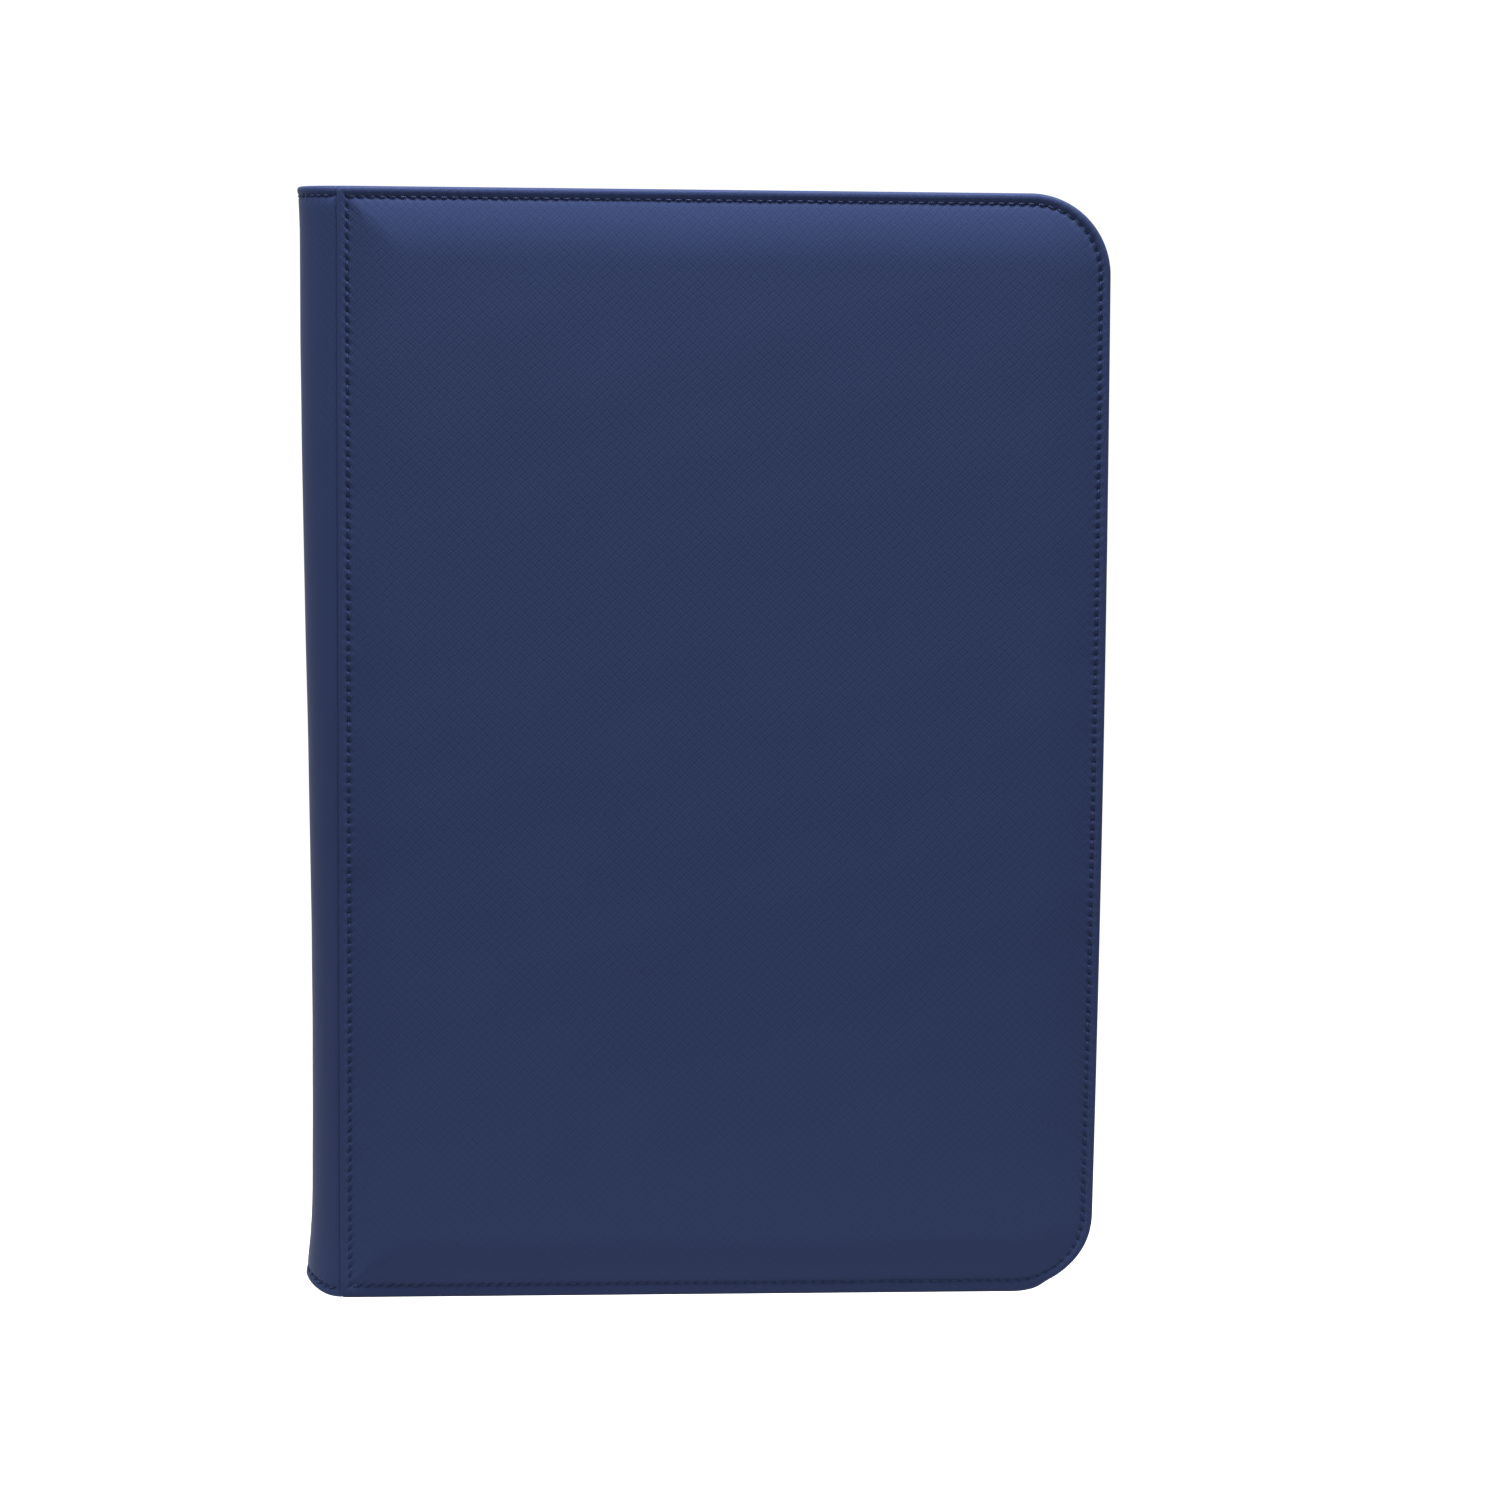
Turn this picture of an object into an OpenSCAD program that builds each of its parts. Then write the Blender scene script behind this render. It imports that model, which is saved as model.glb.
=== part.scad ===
// Zip-around trading card binder with padded covers and twenty nine-pocket pages.
// It stands upright on its foot: +Z is up, the spine is at -X and the front cover faces -Y.
// The origin is at the middle of the footprint, on the surface that it stands on.

/* [Binder] */
// Height of the binder from foot to head
binder_h = 352; // [340:1:370]
// Width of the closed binder from the spine's bulge to the fore-edge
binder_w = 254; // [250:1:270]
// Thickness of the closed binder over both padded faces
binder_t = 40; // [40:1:50]

/* [Covers] */
// Radius of the two corners at the fore-edge
corner_r = 25.5; // [16:1:30]
// Thickness of the leatherette with its backing
skin_t = 1.2; // [1:0.1:1.4]
// Height of the padded middle above the sewn rim
pad_rise = 2; // [1:0.1:2.5]
// Width of the flat rim around the padding
rim_w = 6; // [5:0.5:8]
// Thickness of the stiff board in each cover
board_t = 1.8; // [1.5:0.1:2]
// Thickness of the inner lining
lining_t = 0.5; // [0.3:0.1:0.6]
// Distance of the seam's thread from the rim
seam_inset = 3; // [2.5:0.1:3.5]
// Width of the sewing thread
thread_w = 0.6; // [0.4:0.1:0.8]

/* [Spine] */
// How far the spine bulges out beyond the covers
spine_bulge = 12; // [9:0.5:14]
// Half the distance between the two hinge lines
hinge_y = 17; // [16.5:0.1:17.5]

/* [Pages] */
// Number of pages bound into the spine, an even number
page_count = 20; // [12:2:20]
// Distance between neighbouring pages in the closed binder
page_pitch = 1.4; // [1.3:0.05:1.45]
// Height of a page
page_h = 300; // [296:1:306]
// Width of a page from its crease to its fore-edge
page_w = 228; // [226:1:229]
// Width of the bare margin between the crease and the pockets
margin_w = 13; // [12:0.5:16]
// Width of one card pocket
pocket_w = 67; // [66:0.5:68]
// Height of one card pocket
pocket_h = 92; // [90:0.5:94]
// Thickness of the sheet between the pockets of a page
film_t = 0.3; // [0.2:0.05:0.35]
// Thickness of the empty pockets on one side of a page
pocket_t = 0.3; // [0.2:0.05:0.35]

/* [Zip] */
// Distance of the zip's tape from the rim
tape_inset = 5; // [4.5:0.1:7]
// Thickness of the woven tape
tape_t = 0.8; // [0.6:0.1:1]
// Thickness of a row of zip teeth
teeth_t = 2.2; // [2:0.1:2.4]
// Length of the slider
slider_l = 12; // [10:0.5:14]
// Length of the pull tab, from its pivot
pull_l = 24; // [20:1:30]

/* [Hidden] */
$fn = 96;

navy = [0.18, 0.21, 0.33];
dark_navy = [0.13, 0.16, 0.25];
foam_grey = [0.75, 0.75, 0.72];
board_grey = [0.55, 0.52, 0.47];
black = [0.07, 0.07, 0.08];
gunmetal = [0.30, 0.31, 0.33];
clear_film = [0.80, 0.84, 0.88];

FRONT = -1;
BACK = 1;

// Places across the width
fore_x = binder_w / 2;
cover_x = spine_bulge - binder_w / 2;
cover_w = fore_x - cover_x;
hinge_gap = 0.3;
hinge_x = cover_x - hinge_gap;

// Layers of a cover, counted from the middle plane outwards
face_y = binder_t / 2;
rim_y = face_y - pad_rise;
board_y = rim_y - skin_t;
hem_y = board_y - board_t;
lining_y = hem_y - lining_t;
thread_t = 0.2;

// Spine, drawn in plan as layers of one arc
spine_end_x = hinge_x - 0.6;
spine_half = hinge_y - 0.1;
spine_sag = spine_end_x + binder_w / 2 - thread_t;
spine_r = (spine_half * spine_half + spine_sag * spine_sag) / (2 * spine_sag);
spine_cx = spine_end_x - spine_sag + spine_r;
spine_board_t = 1.2;
strip_t = 0.8;
board_r = spine_r - skin_t;
lining_r = board_r - spine_board_t;
strip_r = lining_r - lining_t;
inner_r = strip_r - strip_t;

// Binding, from the reinforcing strip towards the pages
guard_t = 0.5;
crease_gap = 0.3;
crease_x = spine_end_x + 3.9;
stitch_row_angle = asin((page_count / 2 - 2) * page_pitch / inner_r);

// Pages
foot_z = (binder_h - page_h) / 2;
page_corner_r = 3;
pocket_columns = 3;
pocket_rows = 3;
pocket_gap_x = (page_w - margin_w - pocket_columns * pocket_w) / (pocket_columns + 1);
pocket_gap_z = (page_h - pocket_rows * pocket_h) / (pocket_rows + 1);

// Zip, with its straight stretch along the head of the binder
half_gap = 0.7;
teeth_w = 2.5;
tape_y = half_gap + teeth_w;
tape_start_x = cover_x + 11;
stop_l = 1.6;
teeth_start_x = tape_start_x + 6;
zip_z = binder_h - tape_inset - tape_t / 2;
zip_clearance = 0.3;
slider_x = cover_x + 29;
slider_half = 4.6;
slider_plate_t = 0.9;
slider_gap = teeth_t + 2 * zip_clearance;
post_w = 0.8;
post_l = 3;
bridge_w = 2.2;
bridge_l = 7;
bridge_t = 0.9;
pivot_r = 0.5;
pivot_clearance = 0.15;
pull_w = 6.4;
pivot_z = zip_z + slider_gap / 2 + slider_plate_t + pivot_clearance + pivot_r;

// Outline of a cover in the XZ plane, drawn in by a distance all round
module cover_outline(inset) {
    r = corner_r - inset;
    w = cover_w - 2 * inset;
    h = binder_h - 2 * inset;
    translate([cover_x + inset, inset]) {
        square([w - r, h]);
        translate([0, r]) square([w, h - 2 * r]);
        for (z = [r, h - r]) translate([w - r, z]) circle(r);
    }
}

// Everything for a cover is drawn at +Y and mirrored for the front
module on_side(side) {
    mirror([0, side == FRONT ? 1 : 0, 0]) children();
}

module cover_layer(y0, y1) {
    translate([0, y1, 0]) rotate([90, 0, 0]) linear_extrude(y1 - y0) children();
}

module cover_plate(y0, y1, inset) {
    cover_layer(y0, y1) cover_outline(inset);
}

module cover_ring(y0, y1, outer, inner) {
    cover_layer(y0, y1) difference() {
        cover_outline(outer);
        cover_outline(inner);
    }
}

// Leatherette shell with a raised middle, a flat sewn rim and an edge turned in over the board
module cover_skin(side) {
    color(navy) on_side(side) {
        cover_plate(face_y - skin_t, face_y, rim_w);
        cover_ring(board_y, face_y, rim_w, rim_w + skin_t);
        cover_ring(board_y, rim_y, 0, rim_w + skin_t);
        cover_ring(hem_y, rim_y, 0, skin_t);
    }
}

module cover_foam(side) {
    color(foam_grey) on_side(side) cover_plate(board_y, face_y - skin_t, rim_w + skin_t);
}

module cover_board(side) {
    color(board_grey) on_side(side) cover_plate(hem_y, board_y, skin_t);
}

module cover_lining(side) {
    color(black) on_side(side) cover_plate(lining_y, hem_y, skin_t);
}

module cover_stitching(side) {
    color(dark_navy) on_side(side)
        cover_ring(rim_y, rim_y + thread_t, seam_inset, seam_inset + thread_w);
}

// A wall that follows the head, fore-edge and foot, and stops short of the spine
module zip_wall(y0, y1, outer, inner, start_x, end_x = binder_w) {
    intersection() {
        cover_ring(y0, y1, outer, inner);
        translate([start_x, 0, 0]) cube([end_x - start_x, binder_t, binder_h]);
    }
}

module zipper_tape(side) {
    color(black) on_side(side)
        zip_wall(tape_y, lining_y, tape_inset, tape_inset + tape_t, tape_start_x);
}

module zipper_row(side, start_x, end_x = binder_w) {
    grow = (teeth_t - tape_t) / 2;
    on_side(side)
        zip_wall(half_gap, tape_y, tape_inset - grow, tape_inset + tape_t + grow, start_x, end_x);
}

module zipper_teeth(side) {
    color(black) zipper_row(side, teeth_start_x);
}

module zipper_stops(side) {
    color(gunmetal) zipper_row(side, teeth_start_x - stop_l, teeth_start_x);
}

// One face of the slider: a wide head towards the spine and a narrower tail
module slider_plate() {
    tail_half = slider_half - 1.2;
    linear_extrude(slider_plate_t) {
        translate([-slider_l / 2 + slider_half, 0]) circle(slider_half);
        polygon([
            [-slider_l / 2 + slider_half, -slider_half],
            [slider_l / 2, -tail_half],
            [slider_l / 2, tail_half],
            [-slider_l / 2 + slider_half, slider_half]
        ]);
    }
}

module zipper_slider() {
    color(gunmetal) translate([slider_x, 0, zip_z]) {
        translate([0, 0, slider_gap / 2]) slider_plate();
        translate([0, 0, -slider_gap / 2 - slider_plate_t]) slider_plate();
        translate([-slider_l / 2 + 0.4, -post_w / 2, -slider_gap / 2 - slider_plate_t / 2])
            cube([post_l, post_w, slider_gap + slider_plate_t]);
        slider_bridge();
    }
}

// The strap that holds the pull's pivot down on the slider
module slider_bridge() {
    leg_h = 2 * (pivot_r + pivot_clearance);
    base_z = slider_gap / 2 + slider_plate_t;
    translate([-bridge_l / 2, -bridge_w / 2, base_z - slider_plate_t / 2]) difference() {
        cube([bridge_l, bridge_w, slider_plate_t / 2 + leg_h + bridge_t]);
        translate([bridge_t, -1, slider_plate_t / 2])
            cube([bridge_l - 2 * bridge_t, bridge_w + 2, leg_h]);
    }
}

// Tab with a slot that passes the bridge; its crossbar turns under the bridge
module zipper_pull() {
    arm_w = 1.4;
    slot_l = bridge_l / 2 + 1.2;
    hole_r = 1.5;
    color(gunmetal) translate([slider_x, 0, pivot_z]) {
        difference() {
            translate([0, 0, -pivot_r]) linear_extrude(2 * pivot_r) {
                translate([0, -pull_w / 2]) square([pull_l - pull_w / 2, pull_w]);
                translate([pull_l - pull_w / 2, 0]) circle(pull_w / 2);
            }
            translate([-pull_w, arm_w - pull_w / 2, -1]) cube([pull_w + slot_l, pull_w - 2 * arm_w, 2]);
            translate([pull_l - pull_w / 2, 0, -1]) cylinder(r = hole_r, h = 2);
        }
        rotate([90, 0, 0]) translate([0, 0, -pull_w / 2]) cylinder(r = pivot_r, h = pull_w);
    }
}

// One curved layer of the spine between two radii, standing on a height
module spine_layer(outer_r, layer_r, z, h) {
    translate([0, 0, z]) linear_extrude(h) difference() {
        translate([spine_cx, 0]) circle(outer_r);
        translate([spine_cx, 0]) circle(layer_r);
        translate([spine_end_x, -binder_t]) square(2 * binder_t);
    }
}

module spine_skin() {
    color(navy) spine_layer(spine_r, board_r, 0, binder_h);
}

module spine_board() {
    color(board_grey) spine_layer(board_r, lining_r, 0, binder_h);
}

module spine_lining() {
    color(black) spine_layer(lining_r, strip_r, 0, binder_h);
}

// A row of thread across each hemmed end of the spine
module spine_stitching() {
    for (z = [seam_inset, binder_h - seam_inset - thread_w])
        color(dark_navy) spine_layer(spine_r + thread_t, spine_r, z, thread_w);
}

// Reinforcing strip sewn to the spine's lining, which carries the page guards
module binding_strip() {
    color(black) spine_layer(strip_r, inner_r, foot_z, page_h);
}

// Two rows of thread along the strip, each between two guards
module binding_stitching() {
    for (a = [180 - stitch_row_angle, 180 + stitch_row_angle])
        color(dark_navy) translate([spine_cx, 0, foot_z]) linear_extrude(page_h)
            intersection() {
                difference() {
                    circle(inner_r);
                    circle(inner_r - thread_t);
                }
                rotate(a) translate([0, -thread_w / 2]) square([spine_r, thread_w]);
            }
}

function page_y(k) = (k - (page_count + 1) / 2) * page_pitch;

// Fixed stubs, one for each page, that stand on the curved strip and end at the creases
module page_guards() {
    color(clear_film) translate([0, 0, foot_z]) linear_extrude(page_h) difference() {
        for (k = [1 : page_count])
            translate([-binder_w / 2, page_y(k) - guard_t / 2])
                square([crease_x - crease_gap + binder_w / 2, guard_t]);
        intersection() {
            translate([-binder_w, -binder_t]) square([binder_w + spine_end_x, 2 * binder_t]);
            difference() {
                translate([-binder_w, -binder_t]) square([2 * binder_w, 2 * binder_t]);
                translate([spine_cx, 0]) circle(inner_r);
            }
        }
    }
}

module page_outline() {
    translate([crease_gap, 0]) square([page_w - crease_gap - page_corner_r, page_h]);
    translate([crease_gap, page_corner_r])
        square([page_w - crease_gap, page_h - 2 * page_corner_r]);
    for (z = [page_corner_r, page_h - page_corner_r])
        translate([page_w - page_corner_r, z]) circle(page_corner_r);
}

// A sheet with nine pockets welded to each side
module page(k) {
    color(clear_film) translate([crease_x, page_y(k), foot_z]) {
        translate([0, film_t / 2, 0]) rotate([90, 0, 0]) linear_extrude(film_t) page_outline();
        for (column = [0 : pocket_columns - 1], row = [0 : pocket_rows - 1])
            translate([
                margin_w + pocket_gap_x + column * (pocket_w + pocket_gap_x),
                -film_t / 2 - pocket_t,
                pocket_gap_z + row * (pocket_h + pocket_gap_z)
            ])
                cube([pocket_w, film_t + 2 * pocket_t, pocket_h]);
    }
}

cover_skin(BACK);  // back_cover_skin
cover_foam(BACK);  // back_cover_foam
cover_board(BACK);  // back_cover_board
cover_lining(BACK);  // back_cover_lining
cover_stitching(BACK);  // back_cover_stitching
zipper_tape(BACK);  // zipper_tape_back
zipper_teeth(BACK);  // zipper_teeth_back
zipper_stops(BACK);  // zipper_stops_back
cover_skin(FRONT);  // front_cover_skin
cover_foam(FRONT);  // front_cover_foam
cover_board(FRONT);  // front_cover_board
cover_lining(FRONT);  // front_cover_lining
cover_stitching(FRONT);  // front_cover_stitching
zipper_tape(FRONT);  // zipper_tape_front
zipper_teeth(FRONT);  // zipper_teeth_front
zipper_stops(FRONT);  // zipper_stops_front
spine_skin();
spine_board();
spine_lining();
spine_stitching();
binding_strip();
binding_stitching();
page_guards();
zipper_slider();
zipper_pull();
page(1);  // page_01
page(2);  // page_02
page(3);  // page_03
page(4);  // page_04
page(5);  // page_05
page(6);  // page_06
page(7);  // page_07
page(8);  // page_08
page(9);  // page_09
page(10);  // page_10
page(11);  // page_11
page(12);  // page_12
page(13);  // page_13
page(14);  // page_14
page(15);  // page_15
page(16);  // page_16
page(17);  // page_17
page(18);  // page_18
page(19);  // page_19
page(20);  // page_20
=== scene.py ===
"""The looks of a zip-around trading card binder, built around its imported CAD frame.

Everything is in metres, in the CAD's own frame: +Z up, the spine at -X, the front cover at -Y.
A cover is drawn once, facing +Y, and mirrored for the front. Its seam, rim, lining and zip all
follow one outline, drawn in by a distance that is called the inset.
"""

import itertools
import math

import bmesh
import bpy
import numpy as np
from mathutils import Matrix, Vector


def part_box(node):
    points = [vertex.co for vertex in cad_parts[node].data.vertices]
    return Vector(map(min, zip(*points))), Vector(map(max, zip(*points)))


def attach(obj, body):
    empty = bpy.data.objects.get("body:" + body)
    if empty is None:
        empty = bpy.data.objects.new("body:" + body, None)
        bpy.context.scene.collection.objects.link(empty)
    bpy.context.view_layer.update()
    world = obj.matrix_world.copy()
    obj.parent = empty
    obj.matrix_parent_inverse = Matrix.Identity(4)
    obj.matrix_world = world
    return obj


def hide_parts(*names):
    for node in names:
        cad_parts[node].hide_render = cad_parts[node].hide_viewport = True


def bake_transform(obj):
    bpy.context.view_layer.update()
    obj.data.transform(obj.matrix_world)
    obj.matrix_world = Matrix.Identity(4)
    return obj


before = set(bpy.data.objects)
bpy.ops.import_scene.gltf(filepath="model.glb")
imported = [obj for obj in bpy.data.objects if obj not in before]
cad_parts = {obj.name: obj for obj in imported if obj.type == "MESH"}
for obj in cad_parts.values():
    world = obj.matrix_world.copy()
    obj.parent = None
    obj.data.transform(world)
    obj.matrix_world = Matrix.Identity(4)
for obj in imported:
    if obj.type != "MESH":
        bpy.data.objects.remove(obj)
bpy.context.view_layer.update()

MM = 0.001
FRONT, BACK = -1, 1
SIDE_NAMES = {FRONT: "front", BACK: "back"}
FOOT, FORE_EDGE, HEAD, SPINE_EDGE = range(4)


# ---- places taken from the frame

def box_of(node):
    """The lowest and highest corners of a CAD node, as arrays."""
    low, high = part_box(node)
    return np.array(low), np.array(high)


SKIN_LOW, SKIN_HIGH = box_of("back_cover_skin")
LINING_LOW, _ = box_of("back_cover_lining")
THREAD_LOW, _ = box_of("back_cover_stitching")
TAPE_LOW, _ = box_of("zipper_tape_back")
TEETH_LOW, _ = box_of("zipper_teeth_back")
STRIP_LOW, STRIP_HIGH = box_of("binding_strip")
PAGE_LOW, PAGE_HIGH = box_of("page_01")

COVER_LEFT, COVER_RIGHT = SKIN_LOW[0], SKIN_HIGH[0]
HEIGHT = SKIN_HIGH[2]
LINING_Y = LINING_LOW[1]
SEAM_INSET = THREAD_LOW[2] + 0.3 * MM
TAPE_INSET = TAPE_LOW[2]

FORE_RADIUS = 25.5 * MM
SPINE_RADIUS = 1.6 * MM
FORE_EDGE_BOW = 1.0 * MM
FOOT_SEAM_LIFT = 0.9 * MM
STITCHES = {FOOT: 73, FORE_EDGE: 108, HEAD: 73, SPINE_EDGE: 108}
SEAM_STITCHES = sum(STITCHES.values())
SAMPLES_PER_STITCH = 4


# ---- small tools

def smooth_step(t):
    t = np.clip(t, 0, 1)
    return t * t * (3 - 2 * t)


def grid_faces(rows, columns, closed=False, first=0):
    """Quads between rows of points that are stored one row after another."""
    count = columns if closed else columns - 1
    faces = []
    for r in range(rows - 1):
        for c in range(count):
            d = (c + 1) % columns
            faces.append((first + r * columns + c, first + r * columns + d,
                          first + (r + 1) * columns + d, first + (r + 1) * columns + c))
    return faces


def lengths_along(points):
    """How far along a line of points each one lies."""
    return np.concatenate([[0], np.cumsum(np.linalg.norm(np.diff(points, axis=0), axis=1))])


def unit(vectors):
    return vectors / np.linalg.norm(vectors, axis=1, keepdims=True)


def flipped(faces):
    return [tuple(reversed(f)) for f in faces]


def rings_round(first, second, sides):
    """Unit circles in the planes of two sets of directions: one ring for each pair."""
    angle = np.arange(sides)[:, None, None] * 2 * math.pi / sides
    return (np.cos(angle) * first + np.sin(angle) * second).transpose(1, 0, 2)


def tube_faces(rings, sides, first=0):
    """Quads along a tube and a cap at each end, for rings of points stored one after another."""
    faces = grid_faces(rings, sides, closed=True, first=first)
    faces.append(tuple(first + k for k in reversed(range(sides))))
    faces.append(tuple(first + (rings - 1) * sides + k for k in range(sides)))
    return faces


def make_piece(name, points, faces, material, uv=None, marks=None):
    """A smooth mesh object from arrays. uv is one pair for each point, marks is {attribute: values}."""
    mesh = bpy.data.meshes.new(name)
    points = np.asarray(points, float).reshape(-1, 3)
    mesh.from_pydata(points.tolist(), [], faces)
    mesh.materials.append(material)
    mesh.polygons.foreach_set("use_smooth", [True] * len(mesh.polygons))
    if uv is not None:
        corner_points = np.empty(len(mesh.loops), np.int32)
        mesh.loops.foreach_get("vertex_index", corner_points)
        layer = mesh.uv_layers.new(name="surface")
        layer.data.foreach_set("uv", np.asarray(uv, np.float32)[corner_points].ravel())
    for attribute, values in (marks or {}).items():
        layer = mesh.attributes.new(attribute, "FLOAT", "POINT")
        layer.data.foreach_set("value", np.asarray(values, np.float32))
    mesh.update()
    piece = bpy.data.objects.new(name, mesh)
    bpy.context.scene.collection.objects.link(piece)
    return piece


def belongs(piece, body, node):
    """Says which body a stiff piece moves with, which CAD node it stands for."""
    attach(piece, body)
    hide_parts(node)


def on_side(points, faces, side):
    """Points and faces drawn for the back cover, mirrored when they are for the front."""
    points = np.array(points, float)
    if side == BACK:
        return points, faces
    points[:, 1] *= -1
    return points, flipped(faces)


def ripple(x, z, wave, seed):
    """A smooth uneven surface between about -1 and 1, with lumps about one wave long."""
    total = np.zeros_like(np.asarray(x, float) + np.asarray(z, float))
    for k in range(5):
        turn = seed * 1.7 + k * 2.399
        step = 2 * math.pi / wave * (0.7 + 0.22 * k)
        phase = seed * 3.1 + k * 1.3
        total += np.sin(step * (x * math.cos(turn) + z * math.sin(turn)) + phase) / 5
    return total


# ---- materials

class Shader:
    """A material with a Principled surface, and short calls to add nodes to it."""

    def __init__(self, name, colour, roughness, **inputs):
        self.material = bpy.data.materials.new(name)
        self.material.use_nodes = True
        self.tree = self.material.node_tree
        self.surface = self.tree.nodes["Principled BSDF"]
        self.set("Base Color", (*colour, 1))
        self.set("Roughness", roughness)
        for socket, value in inputs.items():
            self.set(socket.replace("_", " "), value)

    def set(self, socket, value):
        self.surface.inputs[socket].default_value = value

    def node(self, kind, *inputs, **settings):
        made = self.tree.nodes.new(kind)
        for key, value in settings.items():
            setattr(made, key, value)
        for index, value in enumerate(inputs):
            self.feed(made.inputs[index], value)
        return made

    def feed(self, socket, value):
        if isinstance(value, bpy.types.NodeSocket):
            self.tree.links.new(value, socket)
        elif value is not None:
            socket.default_value = value

    def to_surface(self, socket, value):
        self.feed(self.surface.inputs[socket], value)

    def math(self, operation, a, b=0.0):
        return self.node("ShaderNodeMath", a, b, operation=operation).outputs[0]

    def times(self, a, b):
        return self.math("MULTIPLY", a, b)

    def plus(self, a, b):
        return self.math("ADD", a, b)

    def minus(self, a, b):
        return self.math("SUBTRACT", a, b)

    def uv(self):
        """The surface's own two lengths, in millimetres."""
        place = self.node("ShaderNodeUVMap", uv_map="surface").outputs[0]
        parts = self.node("ShaderNodeSeparateXYZ", place)
        return self.times(parts.outputs[0], 1 / MM), self.times(parts.outputs[1], 1 / MM)

    def place(self):
        """The point in the object's own space."""
        return self.node("ShaderNodeTexCoord").outputs["Object"]

    def noise(self, scale, detail=3.0, roughness=0.5):
        made = self.node("ShaderNodeTexNoise")
        self.feed(made.inputs["Vector"], self.place())
        made.inputs["Scale"].default_value = scale
        made.inputs["Detail"].default_value = detail
        made.inputs["Roughness"].default_value = roughness
        return made.outputs["Fac"]

    def mark(self, attribute):
        return self.node("ShaderNodeAttribute", attribute_name=attribute).outputs["Fac"]

    def spread(self, value, low, high):
        """A value from 0 to 1 spread between two others."""
        made = self.node("ShaderNodeMapRange", value)
        made.inputs["To Min"].default_value = low
        made.inputs["To Max"].default_value = high
        return made.outputs[0]

    def mix(self, share, first, second):
        made = self.node("ShaderNodeMix", data_type="RGBA")
        self.feed(made.inputs["Factor"], share)
        for socket, colour in (("A", first), ("B", second)):
            slots = [s for s in made.inputs if s.name == socket and s.type == "RGBA"]
            self.feed(slots[0], (*colour, 1) if isinstance(colour, tuple) else colour)
        return [s for s in made.outputs if s.type == "RGBA"][0]

    def bump(self, height, distance, strength=1.0, after=None):
        made = self.node("ShaderNodeBump")
        made.inputs["Strength"].default_value = strength
        made.inputs["Distance"].default_value = distance
        self.feed(made.inputs["Height"], height)
        if after is not None:
            self.feed(made.inputs["Normal"], after)
        return made.outputs[0]

    def finish(self, colour=None, roughness=None, normal=None):
        for socket, value in (("Base Color", colour), ("Roughness", roughness), ("Normal", normal)):
            if value is not None:
                self.to_surface(socket, value)
        return self.material


def ridges(shader, value):
    """Rounded ridges, one for each whole number that the value passes."""
    return shader.math("ABSOLUTE", shader.math("SINE", shader.times(value, math.pi)))


def cross_hatch(shader, u, v, pitch, wander):
    """Two crossing sets of diagonal ridges; which set stands higher changes from place to place."""
    step = 1 / (pitch * math.sqrt(2))
    rising = shader.plus(shader.times(shader.plus(u, v), step), wander)
    falling = shader.minus(shader.times(shader.minus(u, v), step), wander)
    share = shader.spread(shader.noise(260, 2), 0.21, 0.71)
    first = shader.times(ridges(shader, rising), share)
    second = shader.times(ridges(shader, falling), shader.minus(1.0, share))
    return shader.plus(first, second)


def leatherette():
    """Navy leatherette stamped with a fine diagonal cross-hatch, on a coarser and fainter one."""
    # dark is the painted shade colour that the shade mark mixes in
    navy, worn, dark = (0.0175, 0.0262, 0.0690), (0.0228, 0.0335, 0.0840), (0.0045, 0.0060, 0.0160)
    s = Shader("navy_leatherette", navy, 0.5, Specular_IOR_Level=0.03)
    u, v = s.uv()
    wander = s.spread(s.noise(160, 3, 0.6), -0.7, 0.7)
    fine = cross_hatch(s, u, v, 1.05, wander)
    coarse = cross_hatch(s, u, v, 2.1, wander)
    grain = s.noise(2600, 2, 0.6)
    normal = s.bump(coarse, 0.036 * MM, 0.7, s.bump(fine, 0.04 * MM, 0.7))
    normal = s.bump(grain, 0.02 * MM, 0.5, normal)
    tone = s.plus(s.spread(s.noise(14, 3), 0, 0.30), s.times(coarse, 0.25))
    colour = s.mix(tone, navy, worn)
    # painted shade: the shade mark darkens the colour in needle holes, along the bottom edge and over the
    # foot
    colour = s.mix(s.mark("shade"), colour, dark)
    gloss = s.plus(s.spread(s.noise(45, 3), 0.38, 0.50), s.times(grain, 0.06))
    return s.finish(colour, gloss, normal)


def thread():
    """Twisted polyester thread, a little brighter on its raised plies."""
    deep, raised = (0.0140, 0.0208, 0.0540), (0.0190, 0.0282, 0.0730)
    s = Shader("navy_thread", raised, 0.6, Specular_IOR_Level=0.06)
    u, v = s.uv()
    plies = ridges(s, s.plus(s.times(u, 1.3), v))
    colour = s.mix(plies, deep, raised)
    return s.finish(colour, s.spread(plies, 0.6, 0.45), s.bump(plies, 0.06 * MM))


def woven(name, dark, light, pitch, slant=0.0):
    """Cloth with a plain or slanted weave, pitch in millimetres."""
    s = Shader(name, light, 0.75, Specular_IOR_Level=0.15)
    u, v = s.uv()
    across = s.times(u, 1 / pitch)
    along = s.plus(s.times(v, 1 / pitch), s.times(across, slant))
    weave = s.times(ridges(s, across), ridges(s, along))
    fuzz = s.noise(900, 3, 0.6)
    tone = s.times(weave, s.spread(fuzz, 0.6, 1.1))
    colour = s.mix(tone, dark, light)
    return s.finish(colour, s.spread(fuzz, 0.65, 0.85), s.bump(weave, 0.05 * MM, 0.8))


def coil_nylon():
    """The zip's monofilament, smooth with faint moulding marks."""
    low, high = (0.012, 0.016, 0.036), (0.022, 0.030, 0.060)
    s = Shader("zip_nylon", high, 0.32, Specular_IOR_Level=0.5)
    patches = s.noise(160, 2)
    return s.finish(s.mix(patches, low, high), s.spread(patches, 0.26, 0.42),
                    s.bump(s.noise(1800, 2), 0.02 * MM, 0.4))


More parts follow.
